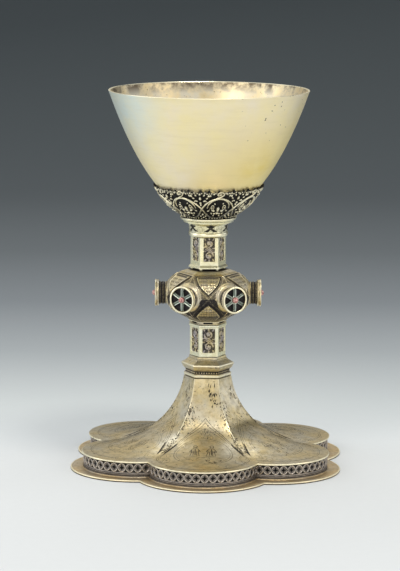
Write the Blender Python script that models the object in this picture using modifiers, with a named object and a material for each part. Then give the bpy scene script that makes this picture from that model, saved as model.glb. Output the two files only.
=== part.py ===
# Altar chalice: six-lobed foot with a pierced gallery, hexagonal stem, knot with six studs,
# leaf calyx and conical bowl. It stands on z = 0, its axis is Z and its front faces -Y.
import math

import bmesh
import bpy
from mathutils import Matrix, Vector

# Driving sizes, in metres
seat_gap = 0.0003  # left between any two pieces that touch
cut_margin = 0.0040  # cutters reach this far past what they cut

lobe_reach = 0.0418  # from the axis to the centre of each lobe
plate_lobe_radius = 0.0296  # upper plate
flange_overhang = 0.0060  # flange beyond the upper plate
flange_thickness = 0.0011
flange_margin = 0.0022  # flange inside the gallery

gallery_inset = 0.0010  # gallery behind the edge of the upper plate
gallery_thickness = 0.0009
gallery_height = 0.0071
gallery_plinth = 0.0017  # plain strip below the rings
ring_opening_height = 0.0031
ring_opening_share = 0.68  # opening width over ring pitch

foot_sheet = 0.0008
foot_rise = 0.0367  # from the upper plate to the collar
foot_top_radius = 0.0128  # corner radius of the hexagonal top
lobe_blend_height = 0.0134  # over which the lobes turn into the hexagon

collar_height = 0.0109
collar_widest_radius = 0.0142
collar_groove_depth = 0.0009
collar_neck_radius = 0.0101
collar_groove_slope = 0.0007  # step out of the groove towards the facets
collar_bead_round = 0.0003

lower_stem_radius = 0.0096
lower_stem_height = 0.0170
lower_panel_width = 0.0061
lower_panel_height = 0.0129

upper_stem_radius = 0.0095
upper_stem_height = 0.0173
upper_panel_width = 0.0054
upper_panel_height = 0.0125

stem_wall = 0.0020
stem_band_projection = 0.0005  # bands at the top of the lower stem and the foot of the upper one
stem_band_height = 0.0014
panel_depth = 0.0006

knot_radius = 0.0230
knot_half_height = 0.0155
knot_bead_radius = 0.0104
knot_bead_height = 0.0023
knot_plateau_height = 0.0020
panel_relief = 0.0006
stud_boss_relief = 0.0007
stud_boss_radius = 0.0112
stud_boss_blend = 0.0030

stud_reach = 0.0283  # from the axis to the face of a stud
stud_tube_radius = 0.0061
stud_flange_radius = 0.0072
stud_flange_thickness = 0.0022
stud_length = 0.0117
stud_recess_radius = 0.0064
stud_recess_depth = 0.0016
star_thickness = 0.0009
star_arm_width = 0.0015
stone_radius = 0.0018
stone_height = 0.0026

dish_height = 0.0103
dish_lip_radius = 0.0150
dish_lip_thickness = 0.0008
dish_neck_radius = 0.0101
dish_ring_projection = 0.0004
dish_depth = 0.0014
dish_seat_margin = 0.0018  # floor of the dish outside the foot of the calyx

calyx_height = 0.0173
calyx_foot_radius = 0.0095
calyx_sheet = 0.0016
calyx_crest_sheet = 0.0010
calyx_stem_relief = 0.0009
calyx_leaf_relief = 0.0006
calyx_ground_depth = 0.0004  # ground sunk between the stems and leaves
calyx_crest_depth = 0.0020  # from a leaf tip down to the notch beside it
calyx_floor_margin = 0.0012  # floor of the calyx outside its bore

bowl_height = 0.0680
bowl_rim_radius = 0.0532
bowl_wall = 0.0009
bowl_stand_off = 0.0005  # bowl above the underside of the calyx

# Counts
lobe_count = 6
lobe_segments = 9
calyx_repeats = 8
bowl_sides = 36
dish_sides = 24
stud_sides = 12
stone_sides = 8

# Turns of the pieces about the axis, in degrees from the front
foot_turn = -2.9
stem_turn = 3.5
knot_turn = 0.4
calyx_turn = -9.7

# Colours
gilt = (0.62, 0.53, 0.31, 1)
pale_gilt = (0.74, 0.68, 0.50, 1)
tarnished_gilt = (0.34, 0.29, 0.18, 1)
silver = (0.50, 0.52, 0.52, 1)
pink_stone = (0.72, 0.30, 0.30, 1)

sector = 2 * math.pi / lobe_count
half_sector = sector / 2
flat_ratio = math.cos(half_sector)  # flat radius of a hexagon over its corner radius

# Heights of the stack, each piece one gap above the piece below
gallery_base = flange_thickness + seat_gap
plate_top = gallery_base + gallery_height + seat_gap + foot_sheet
collar_base = plate_top + foot_rise + seat_gap
lower_stem_base = collar_base + collar_height + seat_gap
knot_base = lower_stem_base + lower_stem_height + seat_gap
knot_rise = 0.89  # share of the half height that the knot's body reaches below its widest line
knot_centre = knot_base + knot_bead_height + knot_rise * knot_half_height
knot_crease = 0.703  # share of the half height at which the plateau starts
knot_top = knot_centre + knot_crease * knot_half_height + knot_plateau_height
upper_stem_base = knot_top + seat_gap
dish_base = upper_stem_base + upper_stem_height + seat_gap
calyx_base = dish_base + dish_height - dish_depth + seat_gap
bowl_base = calyx_base + bowl_stand_off

lower_bore_radius = lower_stem_radius - stem_wall / flat_ratio
upper_bore_radius = upper_stem_radius - stem_wall / flat_ratio


def clear_scene():
    for obj in list(bpy.data.objects):
        bpy.data.objects.remove(obj, do_unlink=True)


def make_material(name, colour, metallic, roughness):
    material = bpy.data.materials.new(name)
    material.use_nodes = True
    shader = material.node_tree.nodes["Principled BSDF"]
    shader.inputs["Base Color"].default_value = colour
    shader.inputs["Metallic"].default_value = metallic
    shader.inputs["Roughness"].default_value = roughness
    return material


def place(name, mesh, collection, parent, material=None):
    obj = bpy.data.objects.new(name, mesh)
    collection.objects.link(obj)
    obj.parent = parent
    if material and not mesh.materials:
        mesh.materials.append(material)
    return obj


def mesh_from_faces(name, points, faces):
    mesh = bpy.data.meshes.new(name)
    mesh.from_pydata(points, [], faces)
    mesh.shade_smooth()
    mesh.set_sharp_from_angle(angle=math.radians(35))
    return mesh


def from_front(angle, distance, height):
    # a point given by its angle from the front, its distance from the axis and its height
    return Vector((distance * math.sin(angle), -distance * math.cos(angle), height))


def bezier(points, t):
    a, b, c, d = (Vector(p) for p in points)
    s = 1 - t
    return a * s**3 + b * (3 * s * s * t) + c * (3 * s * t * t) + d * t**3


def smooth(t):
    t = min(max(t, 0), 1)
    return t * t * (3 - 2 * t)


def fold(angle):
    # angle from the middle of its own sector
    return (angle + half_sector) % sector - half_sector


def hexagon(angle):
    # distance to a hexagon with its corners on the ridges, over its corner radius
    return flat_ratio / math.cos(fold(angle))


def lobed(angle, lobe_radius):
    # distance to the lobed outline
    a = fold(angle)
    return lobe_reach * math.cos(a) + math.sqrt(lobe_radius**2 - (lobe_reach * math.sin(a)) ** 2)


def lobe_angles(lobe_radius, segments):
    # angles from the front of points spaced evenly along each lobe, from cusp to cusp
    cusp = lobed(half_sector, lobe_radius)
    swing = math.atan2(cusp * math.sin(half_sector), cusp * math.cos(half_sector) - lobe_reach)
    angles = []
    for lobe in range(lobe_count):
        for step in range(segments):
            turn = swing * (2 * step / segments - 1)
            across = lobe_radius * math.sin(turn)
            along = lobe_reach + lobe_radius * math.cos(turn)
            angles.append(lobe * sector + math.atan2(across, along))
    return angles


def bridge_rings(rings, wrap):
    # quads between rings of equal length, and from the last ring to the first where wrap is set
    count = len(rings[0])
    points = [point for ring in rings for point in ring]
    faces = []
    for row in range(len(rings) if wrap else len(rings) - 1):
        low = row * count
        high = (row + 1) % len(rings) * count
        for i in range(count):
            j = (i + 1) % count
            faces.append((low + i, low + j, high + j, high + i))
    return points, faces


def solidify(obj, thickness):
    shell = obj.modifiers.new("sheet", "SOLIDIFY")
    shell.thickness = thickness
    shell.offset = -1
    return shell


def turned(name, profile, sides, collection, parent, material, closed=True, mesh=None):
    # profile: (radius, height) down the outer side, then up the inner side where there is a bore
    if mesh is None:
        mesh = bpy.data.meshes.new(name)
        edges = [(i, i + 1) for i in range(len(profile) - 1)]
        if closed:
            edges.append((len(profile) - 1, 0))
        mesh.from_pydata([(r, 0, z) for r, z in profile], edges, [])
    obj = place(name, mesh, collection, parent, material)
    screw = obj.modifiers.new("turn", "SCREW")
    screw.steps = sides
    screw.render_steps = sides
    screw.use_merge_vertices = True
    screw.merge_threshold = 0.00001
    screw.use_smooth_shade = sides > lobe_count
    return obj


def cut(obj, cutter):
    boolean = obj.modifiers.new("cut", "BOOLEAN")
    boolean.operation = "DIFFERENCE"
    boolean.object = cutter


def hide_cutter(cutter):
    cutter.hide_render = True
    cutter.display_type = "WIRE"


def make_flange(parts, parent, material):
    outer_radius = plate_lobe_radius + flange_overhang
    inner_radius = plate_lobe_radius - gallery_inset - gallery_thickness - flange_margin
    outer = lobe_angles(outer_radius, lobe_segments)
    inner = lobe_angles(inner_radius, lobe_segments)
    rings = [
        [from_front(a, lobed(a, outer_radius), flange_thickness) for a in outer],
        [from_front(a, lobed(a, inner_radius), flange_thickness) for a in inner],
    ]
    mesh = mesh_from_faces("foot_flange", *bridge_rings(rings, False))
    obj = place("foot_flange", mesh, parts, parent, material)
    obj.rotation_euler.z = math.radians(foot_turn)
    solidify(obj, flange_thickness)


def make_gallery(parts, parent, material):
    # a band of flat stretches along the lobes, with two four-cornered ring openings in each
    radius = plate_lobe_radius - gallery_inset
    edge = [from_front(a, lobed(a, radius), 0) for a in lobe_angles(radius, lobe_segments)]
    count = len(edge)
    low = gallery_base
    high = gallery_base + gallery_height
    centre = (low + gallery_plinth + high) / 2
    points = [Vector((p.x, p.y, low)) for p in edge] + [Vector((p.x, p.y, high)) for p in edge]
    faces = []
    for i in range(count):
        j = (i + 1) % count
        first = len(points)
        for share in (0.25, 0.75):
            points += ring_opening(edge[i].lerp(edge[j], share), (edge[j] - edge[i]) / 2, centre)
        bottom_1, right_1, top_1, left_1, bottom_2, right_2, top_2, left_2 = range(first, first + 8)
        a, b, c, d = i, j, count + j, count + i
        faces += [(a, b, bottom_1), (b, bottom_2, bottom_1), (c, d, top_1), (c, top_1, top_2)]
        faces += [(bottom_1, bottom_2, left_2, right_1), (right_1, left_2, top_2, top_1)]
        faces += [(a, bottom_1, left_1), (a, left_1, d), (d, left_1, top_1)]
        faces += [(b, right_2, bottom_2), (b, c, right_2), (c, top_2, right_2)]
    mesh = mesh_from_faces("foot_gallery", points, faces)
    obj = place("foot_gallery", mesh, parts, parent, material)
    obj.rotation_euler.z = math.radians(foot_turn)
    solidify(obj, gallery_thickness)


def ring_opening(middle, pitch, centre):
    # bottom, right, top and left corner of the opening in one ring
    half_width = pitch / 2 * ring_opening_share
    half_height = Vector((0, 0, ring_opening_height / 2))
    level = middle + Vector((0, 0, centre))
    return [level - half_height, level + half_width, level + half_height, level - half_width]


def make_foot(parts, parent, material):
    # sheet that is lobed at the plate and hexagonal at the top, with six ridges up from the cusps
    cusp = lobed(half_sector, plate_lobe_radius)
    ridge = [
        (cusp, plate_top),
        (0.60 * cusp, plate_top),
        (1.23 * foot_top_radius, plate_top + 0.45 * foot_rise),
        (foot_top_radius, plate_top + foot_rise),
    ]
    angles = lobe_angles(plate_lobe_radius, lobe_segments)
    rows = (0, 0.1, 0.22, 0.35, 0.5, 0.66, 0.82, 1)
    rings = []
    for t in rows:
        corner, height = bezier(ridge, t)
        above = height - plate_top
        lobe_share = max(0, 1 - above / lobe_blend_height) ** 1.5
        ring = []
        for a in angles:
            wide = lobed(a, plate_lobe_radius) * corner / cusp
            distance = lobe_share * wide + (1 - lobe_share) * hexagon(a) * corner
            ring.append(from_front(a, distance, height))
        rings.append(ring)
    mesh = mesh_from_faces("foot", *bridge_rings(rings, False))
    obj = place("foot", mesh, parts, parent, material)
    obj.rotation_euler.z = math.radians(foot_turn)
    solidify(obj, foot_sheet)


def make_collar(parts, parent, material):
    top = collar_height
    bead = foot_top_radius
    groove = foot_top_radius - collar_groove_depth
    profile = [
        (collar_neck_radius, top),
        (collar_neck_radius, 0.86 * top),
        (collar_widest_radius, 0.64 * top),
        (collar_widest_radius * 0.97, 0.52 * top),
        (groove + collar_groove_slope, 0.34 * top),
        (groove, 0.29 * top),
        (groove, 0.19 * top),
        (bead, 0.15 * top),
        (bead, 0.03 * top),
        (bead - collar_bead_round, 0),
        (lower_bore_radius, 0),
        (lower_bore_radius, top),
    ]
    collar = turned("foot_collar", profile, lobe_count, parts, parent, material)
    collar.location.z = collar_base
    collar.rotation_euler.z = math.radians(foot_turn)


def panel_cutter(name, cutters, parent, corner_radius, width, height, base, turn):
    # six blocks, one for the sunk panel on each flat, joined in one cutter
    depth = panel_depth + cut_margin
    shape = bmesh.new()
    for side in range(lobe_count):
        block = bmesh.ops.create_cube(shape, size=1)["verts"]
        bmesh.ops.scale(shape, vec=(width, depth, height), verts=block)
        out = corner_radius * flat_ratio - panel_depth + depth / 2
        bmesh.ops.translate(shape, vec=(0, -out, base + height / 2), verts=block)
        bmesh.ops.transform(shape, matrix=rotation_about_axis(side * sector), verts=block)
    mesh = bpy.data.meshes.new(name)
    shape.to_mesh(mesh)
    shape.free()
    cutter = place(name, mesh, cutters, parent)
    cutter.rotation_euler.z = math.radians(turn)
    hide_cutter(cutter)
    return cutter


def rotation_about_axis(angle):
    return Matrix.Rotation(angle, 4, "Z")


def make_lower_stem(parts, cutters, parent, material):
    top = lower_stem_height
    band = lower_stem_radius + stem_band_projection
    profile = [
        (band, top),
        (band, top - stem_band_height * 0.6),
        (lower_stem_radius, top - stem_band_height),
        (lower_stem_radius, 0),
        (lower_bore_radius, 0),
        (lower_bore_radius, top),
    ]
    stem = turned("lower_stem", profile, lobe_count, parts, parent, material)
    stem.location.z = lower_stem_base
    stem.rotation_euler.z = math.radians(stem_turn)
    margin = (top - stem_band_height - lower_panel_height) / 2
    cutter = panel_cutter("lower_panels", cutters, parent, lower_stem_radius, lower_panel_width,
                          lower_panel_height, lower_stem_base + margin, stem_turn)
    cut(stem, cutter)


def make_upper_stem(parts, cutters, parent, material):
    top = upper_stem_height
    band = upper_stem_radius + 2 * stem_band_projection
    profile = [
        (upper_stem_radius, top),
        (upper_stem_radius, 1.8 * stem_band_height),
        (band, stem_band_height),
        (band, 0.4 * stem_band_height),
        (upper_stem_radius, 0),
        (upper_bore_radius, 0),
        (upper_bore_radius, top),
    ]
    stem = turned("upper_stem", profile, lobe_count, parts, parent, material)
    stem.location.z = upper_stem_base
    stem.rotation_euler.z = math.radians(stem_turn)
    margin = (top - 1.8 * stem_band_height - upper_panel_height) / 2
    base = upper_stem_base + 1.8 * stem_band_height + margin
    cutter = panel_cutter("upper_panels", cutters, parent, upper_stem_radius, upper_panel_width,
                          upper_panel_height, base, stem_turn)
    cut(stem, cutter)


def knot_ring(radius, height, panel_width, relief, roundness):
    # One ring of the knot. Its points follow the edges of the raised triangular panels, which
    # face the flats. panel_width is half a panel's width here, in degrees.
    channel = min(panel_width + 3, 26)
    shoulder = min(channel + 5, 28)
    ring = []
    for side in range(lobe_count):
        for degrees in (-30, -shoulder, -channel, -panel_width, 0, panel_width, channel, shoulder):
            raised = relief if abs(degrees) <= panel_width else 0
            a = math.radians(degrees)
            shape = roundness + (1 - roundness) * hexagon(a)
            base = radius * shape
            to_stud = math.hypot(base * math.sin(half_sector - abs(a)), height - knot_centre)
            boss = stud_boss_relief * smooth((stud_boss_radius - to_stud) / stud_boss_blend)
            ring.append(from_front(side * sector + a, base + raised + boss, height))
    return ring


def make_knot(parts, cutters, parent, material):
    # (latitude in degrees, half width of the panel in degrees, relief at the panel's edge)
    body = [
        (-43, 20.5, panel_relief),
        (-27, 11, panel_relief),
        (-12.5, 0.9, panel_relief),
        (-1, 0.9, 0),
        (11, 0.9, panel_relief),
        (27, 11, panel_relief),
        (41, 20, panel_relief),
    ]
    bead = knot_bead_radius
    rings = [
        knot_ring(bead * 0.95, knot_base, 20, 0, 0),
        knot_ring(bead, knot_base + 0.45 * knot_bead_height, 20, 0, 0),
        knot_ring(bead * 0.93, knot_base + knot_bead_height, 20, 0, 0.2),
    ]
    for latitude, half_width, relief in body:
        phi = math.radians(latitude)
        radius = knot_radius * math.cos(phi)
        height = knot_centre + knot_half_height * math.sin(phi)
        rings.append(knot_ring(radius, height, half_width, relief, smooth((50 - abs(latitude)) / 25)))
    crease_radius = knot_radius * math.sqrt(1 - knot_crease**2)
    crease_height = knot_centre + knot_crease * knot_half_height
    rings.append(knot_ring(crease_radius, crease_height, 20, 0, 0))
    rings.append(knot_ring(upper_stem_radius + 3 * stem_band_projection, knot_top, 20, 0, 0))
    points, faces = bridge_rings(rings, False)
    count = len(rings[0])
    faces.append(tuple(reversed(range(count))))
    faces.append(tuple(range(len(points) - count, len(points))))
    mesh = mesh_from_faces("knot", points, faces)
    knot = place("knot", mesh, parts, parent, material)
    knot.rotation_euler.z = math.radians(knot_turn)
    cut(knot, knot_hollows(cutters, parent))


def knot_hollows(cutters, parent):
    # the bore, and six blind round seats, one gap wider and deeper than the studs
    root = stud_reach - stud_length
    reach = stud_reach + cut_margin
    shape = bmesh.new()
    for side in range(lobe_count):
        seat = bmesh.ops.create_cone(
            shape, segments=stud_sides, radius1=stud_tube_radius + seat_gap,
            radius2=stud_tube_radius + seat_gap, depth=reach - root + seat_gap, cap_ends=True)
        middle = (reach + root - seat_gap) / 2
        bmesh.ops.transform(shape, matrix=stud_placing(side, middle), verts=seat["verts"])
    bore = bmesh.ops.create_cone(
        shape, segments=stud_sides, radius1=lower_bore_radius, radius2=lower_bore_radius,
        depth=4 * knot_half_height, cap_ends=True)
    bmesh.ops.translate(shape, vec=(0, 0, knot_centre), verts=bore["verts"])
    mesh = bpy.data.meshes.new("knot_hollows")
    shape.to_mesh(mesh)
    shape.free()
    cutter = place("knot_hollows", mesh, cutters, parent)
    cutter.rotation_euler.z = math.radians(knot_turn)
    hide_cutter(cutter)
    return cutter


def stud_placing(side, distance):
    # puts a shape whose own Z is its axis on the ridge of the given side, pointing outwards
    angle = side * sector - half_sector - math.pi / 2
    turn = Matrix.Rotation(angle, 4, "Z") @ Matrix.Rotation(math.pi / 2, 4, "Y")
    centre = Vector((distance * math.cos(angle), distance * math.sin(angle), knot_centre))
    return Matrix.Translation(centre) @ turn


def make_studs(parts, parent, materials):
    length = stud_length
    profile = [
        (0, length - stud_recess_depth),
        (stud_recess_radius, length - stud_recess_depth),
        (stud_recess_radius, length),
        (stud_flange_radius, length),
        (stud_flange_radius, length - stud_flange_thickness),
        (stud_tube_radius, length - stud_flange_thickness),
        (stud_tube_radius, 0),
        (0, 0),
    ]
    star_base = length - stud_recess_depth + seat_gap
    stone_base = star_base + star_thickness + seat_gap
    stone_profile = [
        (0, stone_height),
        (0.62 * stone_radius, 0.85 * stone_height),
        (stone_radius, 0.35 * stone_height),
        (stone_radius, 0),
        (0, 0),
    ]
    star_mesh = make_star_mesh()
    stud_mesh = None
    stone_mesh = None
    root = stud_reach - stud_length
    for side in range(lobe_count):
        number = side + 1
        stud = turned(f"stud_{number}", profile, stud_sides, parts, parent, materials["gilt"],
                      closed=False, mesh=stud_mesh)
        stud_mesh = stud.data
        star = place(f"star_{number}", star_mesh, parts, parent, materials["silver"])
        solidify(star, star_thickness)
        stone = turned(f"stone_{number}", stone_profile, stone_sides, parts, parent,
                       materials["pink_stone"], closed=False, mesh=stone_mesh)
        stone_mesh = stone.data
        spots = ((stud, root), (star, root + star_base + star_thickness), (stone, root + stone_base))
        for piece, distance in spots:
            turn = rotation_about_axis(math.radians(knot_turn))
            piece.matrix_local = turn @ stud_placing(side, distance)


def make_star_mesh():
    # six arms from a hub, as one flat face
    tip = stud_recess_radius - seat_gap
    valley = star_arm_width * 1.35
    points = []
    for arm in range(lobe_count):
        spread = math.asin(star_arm_width / 2 / tip)
        for angle, distance in ((-half_sector, valley), (-spread, tip), (spread, tip)):
            a = arm * sector + angle
            points.append((distance * math.cos(a), distance * math.sin(a), 0))
    return mesh_from_faces("star", points, [tuple(range(len(points)))])


def make_dish(parts, parent, material):
    top = dish_height
    lip = dish_lip_radius
    neck = dish_neck_radius
    step = lip - neck
    profile = [
        (lip, top),
        (lip - 0.04 * step, 0.94 * top),
        (lip - 0.30 * step, 0.87 * top),
        (lip - 0.34 * step, 0.75 * top),
        (neck + 0.06 * step, 0.54 * top),
        (neck, 0.28 * top),
        (neck + dish_ring_projection, 0.21 * top),
        (neck - dish_ring_projection, 0),
        (upper_bore_radius, 0),
        (upper_bore_radius, top - dish_depth),
        (calyx_foot_radius + dish_seat_margin, top - dish_depth),
        (lip - dish_lip_thickness, top),
    ]
    dish = turned("calyx_dish", profile, dish_sides, parts, parent, material)
    dish.location.z = dish_base


def bowl_curve():
    return [
        (0, bowl_base),
        (0.236 * bowl_rim_radius, bowl_base),
        (0.64 * bowl_rim_radius, bowl_base + 0.1866 * bowl_height),
        (bowl_rim_radius, bowl_base + bowl_height),
    ]


def bowl_radius_at(height):
    # radius of the outside of the bowl at a height, found by halving
    low, high = 0, 1
    curve = bowl_curve()
    for _ in range(40):
        middle = (low + high) / 2
        if bezier(curve, middle).y < height:
            low = middle
        else:
            high = middle
    return bezier(curve, (low + high) / 2).x


def calyx_curve():
    crest_height = calyx_base + calyx_height
    crest = bowl_radius_at(crest_height) + seat_gap + calyx_crest_sheet
    return [
        (calyx_foot_radius, calyx_base),
        (calyx_foot_radius + 0.33 * (crest - calyx_foot_radius), calyx_base + 0.14 * calyx_height),
        (calyx_foot_radius + 0.76 * (crest - calyx_foot_radius), calyx_base + 0.52 * calyx_height),
        (crest, crest_height),
    ]


def make_calyx(parts, cutters, parent, material):
    # The grid follows two curved stems in each repeat, which meet at a crossing and part again.
    # (place along the curve, half distance between the stems, stem relief, leaf relief)
    rows = [
        (0, 0.30, 0, 0),
        (0.3, 0.24, 0.4, 0.2),
        (0.6, 0.09, 1, 0.9),
        (0.74, 0.42, 1, 1),
        (0.86, 0.78, 1, 1),
        (1, 0.82, 0, 0.5),
    ]
    curve = calyx_curve()
    half_repeat = math.pi / calyx_repeats
    stem_half_width = 0.075
    outer = []
    for t, spread, stem, leaf in rows:
        distance, height = bezier(curve, t)
        ahead = bezier(curve, min(t + 0.01, 1)) - bezier(curve, min(t + 0.01, 1) - 0.01)
        normal = Vector((ahead.y, -ahead.x)).normalized()
        ground = -leaf * calyx_ground_depth
        columns = [
            (-spread - stem_half_width, ground),
            (-spread, stem * calyx_stem_relief),
            (-spread + stem_half_width, ground),
            (0, leaf * calyx_leaf_relief),
            (spread - stem_half_width, ground),
            (spread, stem * calyx_stem_relief),
            (spread + stem_half_width, ground),
            (1, leaf * calyx_leaf_relief),
        ]
        ring = []
        for repeat in range(calyx_repeats):
            for share, relief in columns:
                a = (2 * repeat + share) * half_repeat
                tip = 0.5 + 0.5 * math.cos(2 * math.pi * share)
                drop = calyx_crest_depth * (1 - tip) * smooth((t - 0.72) / 0.28)
                out = distance + relief * normal.x
                up = height + relief * normal.y - drop
                ring.append(from_front(a, out, up))
        outer.append(ring)
    points, faces = bridge_rings(outer, False)
    count = len(outer[0])
    top = len(points) - count
    points.append(Vector((0, 0, calyx_base + calyx_height - calyx_crest_depth)))
    faces += [(top + i, top + (i + 1) % count, len(points) - 1) for i in range(count)]
    faces.append(tuple(reversed(range(count))))
    mesh = mesh_from_faces("calyx", points, faces)
    calyx = place("calyx", mesh, parts, parent, material)
    calyx.rotation_euler.z = math.radians(calyx_turn)
    cut(calyx, calyx_hollow(cutters, parent))


def calyx_hollow(cutters, parent):
    # the seat of the bowl near the crest, the hollow below it and the bore
    above = calyx_base + calyx_height + cut_margin
    crest_height = calyx_base + calyx_height
    waist = crest_height - 0.28 * calyx_height
    belly = bezier(calyx_curve(), 0.42)
    belly_height = belly.y + calyx_sheet
    belly_radius = max(belly.x - calyx_sheet / 2, bowl_radius_at(belly_height) + seat_gap)
    floor = calyx_base + calyx_sheet / 2
    profile = [
        (0, above),
        (bowl_radius_at(above) + seat_gap, above),
        (bowl_radius_at(crest_height) + seat_gap, crest_height),
        (bowl_radius_at(waist) + seat_gap, waist),
        (belly_radius, belly_height),
        (upper_bore_radius + calyx_floor_margin, floor),
        (upper_bore_radius, floor),
        (upper_bore_radius, calyx_base - cut_margin),
        (0, calyx_base - cut_margin),
    ]
    cutter = turned("calyx_hollow", profile, bowl_sides, cutters, parent, None, closed=False)
    hide_cutter(cutter)
    return cutter


def make_bowl(parts, parent, material):
    curve = bowl_curve()
    stations = (0.2, 0.38, 0.54, 0.7, 0.85, 1)
    outside = [(0, bowl_base)]
    inside = [(0, bowl_base + bowl_wall)]
    for t in stations:
        point = bezier(curve, t)
        ahead = bezier(curve, t) - bezier(curve, t - 0.01)
        normal = Vector((ahead.y, -ahead.x)).normalized()
        outside.append(tuple(point))
        inner_point = point - normal * bowl_wall
        inside.append((inner_point.x, inner_point.y if t < 1 else point.y))
    profile = list(reversed(outside))
    turned("bowl", profile + inside, bowl_sides, parts, parent, material)


def main():
    clear_scene()
    parts = bpy.data.collections.new("chalice")
    cutters = bpy.data.collections.new("cutters")
    bpy.context.scene.collection.children.link(parts)
    bpy.context.scene.collection.children.link(cutters)
    origin = bpy.data.objects.new("chalice_origin", None)
    parts.objects.link(origin)
    materials = {
        "gilt": make_material("gilt", gilt, 1, 0.35),
        "pale_gilt": make_material("pale_gilt", pale_gilt, 1, 0.38),
        "tarnished_gilt": make_material("tarnished_gilt", tarnished_gilt, 1, 0.45),
        "silver": make_material("silver", silver, 1, 0.35),
        "pink_stone": make_material("pink_stone", pink_stone, 0, 0.15),
    }
    make_flange(parts, origin, materials["gilt"])
    make_gallery(parts, origin, materials["tarnished_gilt"])
    make_foot(parts, origin, materials["gilt"])
    make_collar(parts, origin, materials["gilt"])
    make_lower_stem(parts, cutters, origin, materials["gilt"])
    make_knot(parts, cutters, origin, materials["gilt"])
    make_studs(parts, origin, materials)
    make_upper_stem(parts, cutters, origin, materials["gilt"])
    make_dish(parts, origin, materials["gilt"])
    make_calyx(parts, cutters, origin, materials["tarnished_gilt"])
    make_bowl(parts, origin, materials["pale_gilt"])


main()
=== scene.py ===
import math

import bpy
import numpy as np
from mathutils import Matrix, Vector


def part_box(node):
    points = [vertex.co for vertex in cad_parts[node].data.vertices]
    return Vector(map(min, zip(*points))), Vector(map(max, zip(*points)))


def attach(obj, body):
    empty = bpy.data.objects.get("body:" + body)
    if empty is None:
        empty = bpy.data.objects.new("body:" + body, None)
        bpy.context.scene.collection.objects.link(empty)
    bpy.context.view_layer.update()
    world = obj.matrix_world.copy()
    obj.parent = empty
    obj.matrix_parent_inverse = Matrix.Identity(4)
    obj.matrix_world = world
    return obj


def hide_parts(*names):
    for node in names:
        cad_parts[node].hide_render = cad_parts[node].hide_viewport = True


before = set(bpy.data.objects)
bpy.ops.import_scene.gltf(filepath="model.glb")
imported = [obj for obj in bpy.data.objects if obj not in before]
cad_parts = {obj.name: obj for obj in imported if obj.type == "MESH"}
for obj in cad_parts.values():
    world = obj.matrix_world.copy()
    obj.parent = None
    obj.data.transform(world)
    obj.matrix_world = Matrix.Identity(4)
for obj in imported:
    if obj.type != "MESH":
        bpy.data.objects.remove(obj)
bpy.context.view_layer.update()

print("chalice: frame loaded")

sector = math.pi / 3
halfSector = sector / 2
flatRatio = math.cos(halfSector)  # flat radius of a hexagon over its corner radius
# small turns of the pieces against each other, as in the photo
footTurn = math.radians(-2.9)
stemTurn = math.radians(3.5)
knotTurn = math.radians(0.4)
lobeReach = 41.8  # from the axis to the centre of each lobe
zAxis = np.array([0, 0, 1.0])

# low and high corner of each solid, in millimetres
boxes = {node: [np.array(corner) * 1000 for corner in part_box(node)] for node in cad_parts}


def fromFront(angle, distance, height):
    # points given by angle from the front, distance from the axis and height
    angle, distance, height = np.broadcast_arrays(angle, distance, height)
    return np.stack([distance * np.sin(angle), -distance * np.cos(angle), height], axis=-1)


def facingAxes(angle):
    # sideways and outward directions at an angle from the front
    return np.array([math.cos(angle), math.sin(angle), 0]), np.array([math.sin(angle), -math.cos(angle), 0])


def wholeTurn(columns, start=0.0):
    return np.linspace(start, start + 2 * math.pi, columns, endpoint=False)


def smooth(t):
    t = np.clip(t, 0, 1)
    return t * t * (3 - 2 * t)


def fold(angle):
    # angle from the middle of its own sixth
    return (angle + halfSector) % sector - halfSector


def hexagon(angle, softness=0.006):
    # distance to a hexagon over its corner radius, with slightly rubbed corners
    a = np.abs(fold(angle))
    return flatRatio / np.cos(a) * (1 - softness * smooth(1 - (halfSector - a) / math.radians(2.5)))


def lobed(angle, radius):
    # distance of the six-lobed outline from the axis
    a = fold(angle)
    return lobeReach * np.cos(a) + np.sqrt(np.maximum(radius**2 - (lobeReach * np.sin(a)) ** 2, 0))


def lobeSwing(radius):
    # half the arc of one lobe, from its middle to the cusp
    cusp = float(lobed(halfSector, radius))
    return math.atan2(cusp * math.sin(halfSector), cusp * flatRatio - lobeReach)


def lobeAngles(radius, perLobe):
    # angles of points spaced evenly along each lobe, from cusp to cusp
    turns = lobeSwing(radius) * np.linspace(-1, 1, perLobe, endpoint=False)
    own = np.arctan2(radius * np.sin(turns), lobeReach + radius * np.cos(turns))
    return np.concatenate([own + sector * lobe for lobe in range(6)])


def sideAngles(perSide):
    # angles round a hexagonal piece, closer together at the corners
    u = np.linspace(-1, 1, perSide, endpoint=False)
    own = halfSector * np.sign(u) * (1 - (1 - np.abs(u)) ** 1.7)
    return np.concatenate([own + sector * side for side in range(6)])


def bezier(points, t):
    a, b, c, d = (np.array(p, dtype=float) for p in points)
    t = np.asarray(t, dtype=float)[..., None]
    s = 1 - t
    return a * s**3 + b * 3 * s * s * t + c * 3 * s * t * t + d * t**3


def gridShape(points, relief=1.0, closedRows=False, material=0):
    # quads between rings that run round the axis, bottom ring first
    rows, columns = points.shape[:2]
    index = np.arange(rows * columns).reshape(rows, columns)
    low = index if closedRows else index[:-1]
    high = np.roll(index, -1, axis=0) if closedRows else index[1:]
    faces = np.stack([low, np.roll(low, -1, axis=1), np.roll(high, -1, axis=1), high], axis=-1)
    return {"points": points.reshape(-1, 3), "faces": faces.reshape(-1, 4).tolist(),
            "relief": np.broadcast_to(relief, (rows, columns)).reshape(-1), "material": material}


def capped(shape, columns):
    # closes both ends, where each ring has this many points
    count = len(shape["points"])
    ends = [list(range(columns))[::-1], list(range(count - columns, count))]
    return {**shape, "faces": shape["faces"] + ends}


def flipped(shape):
    return {**shape, "faces": [face[::-1] for face in shape["faces"]]}


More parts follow.
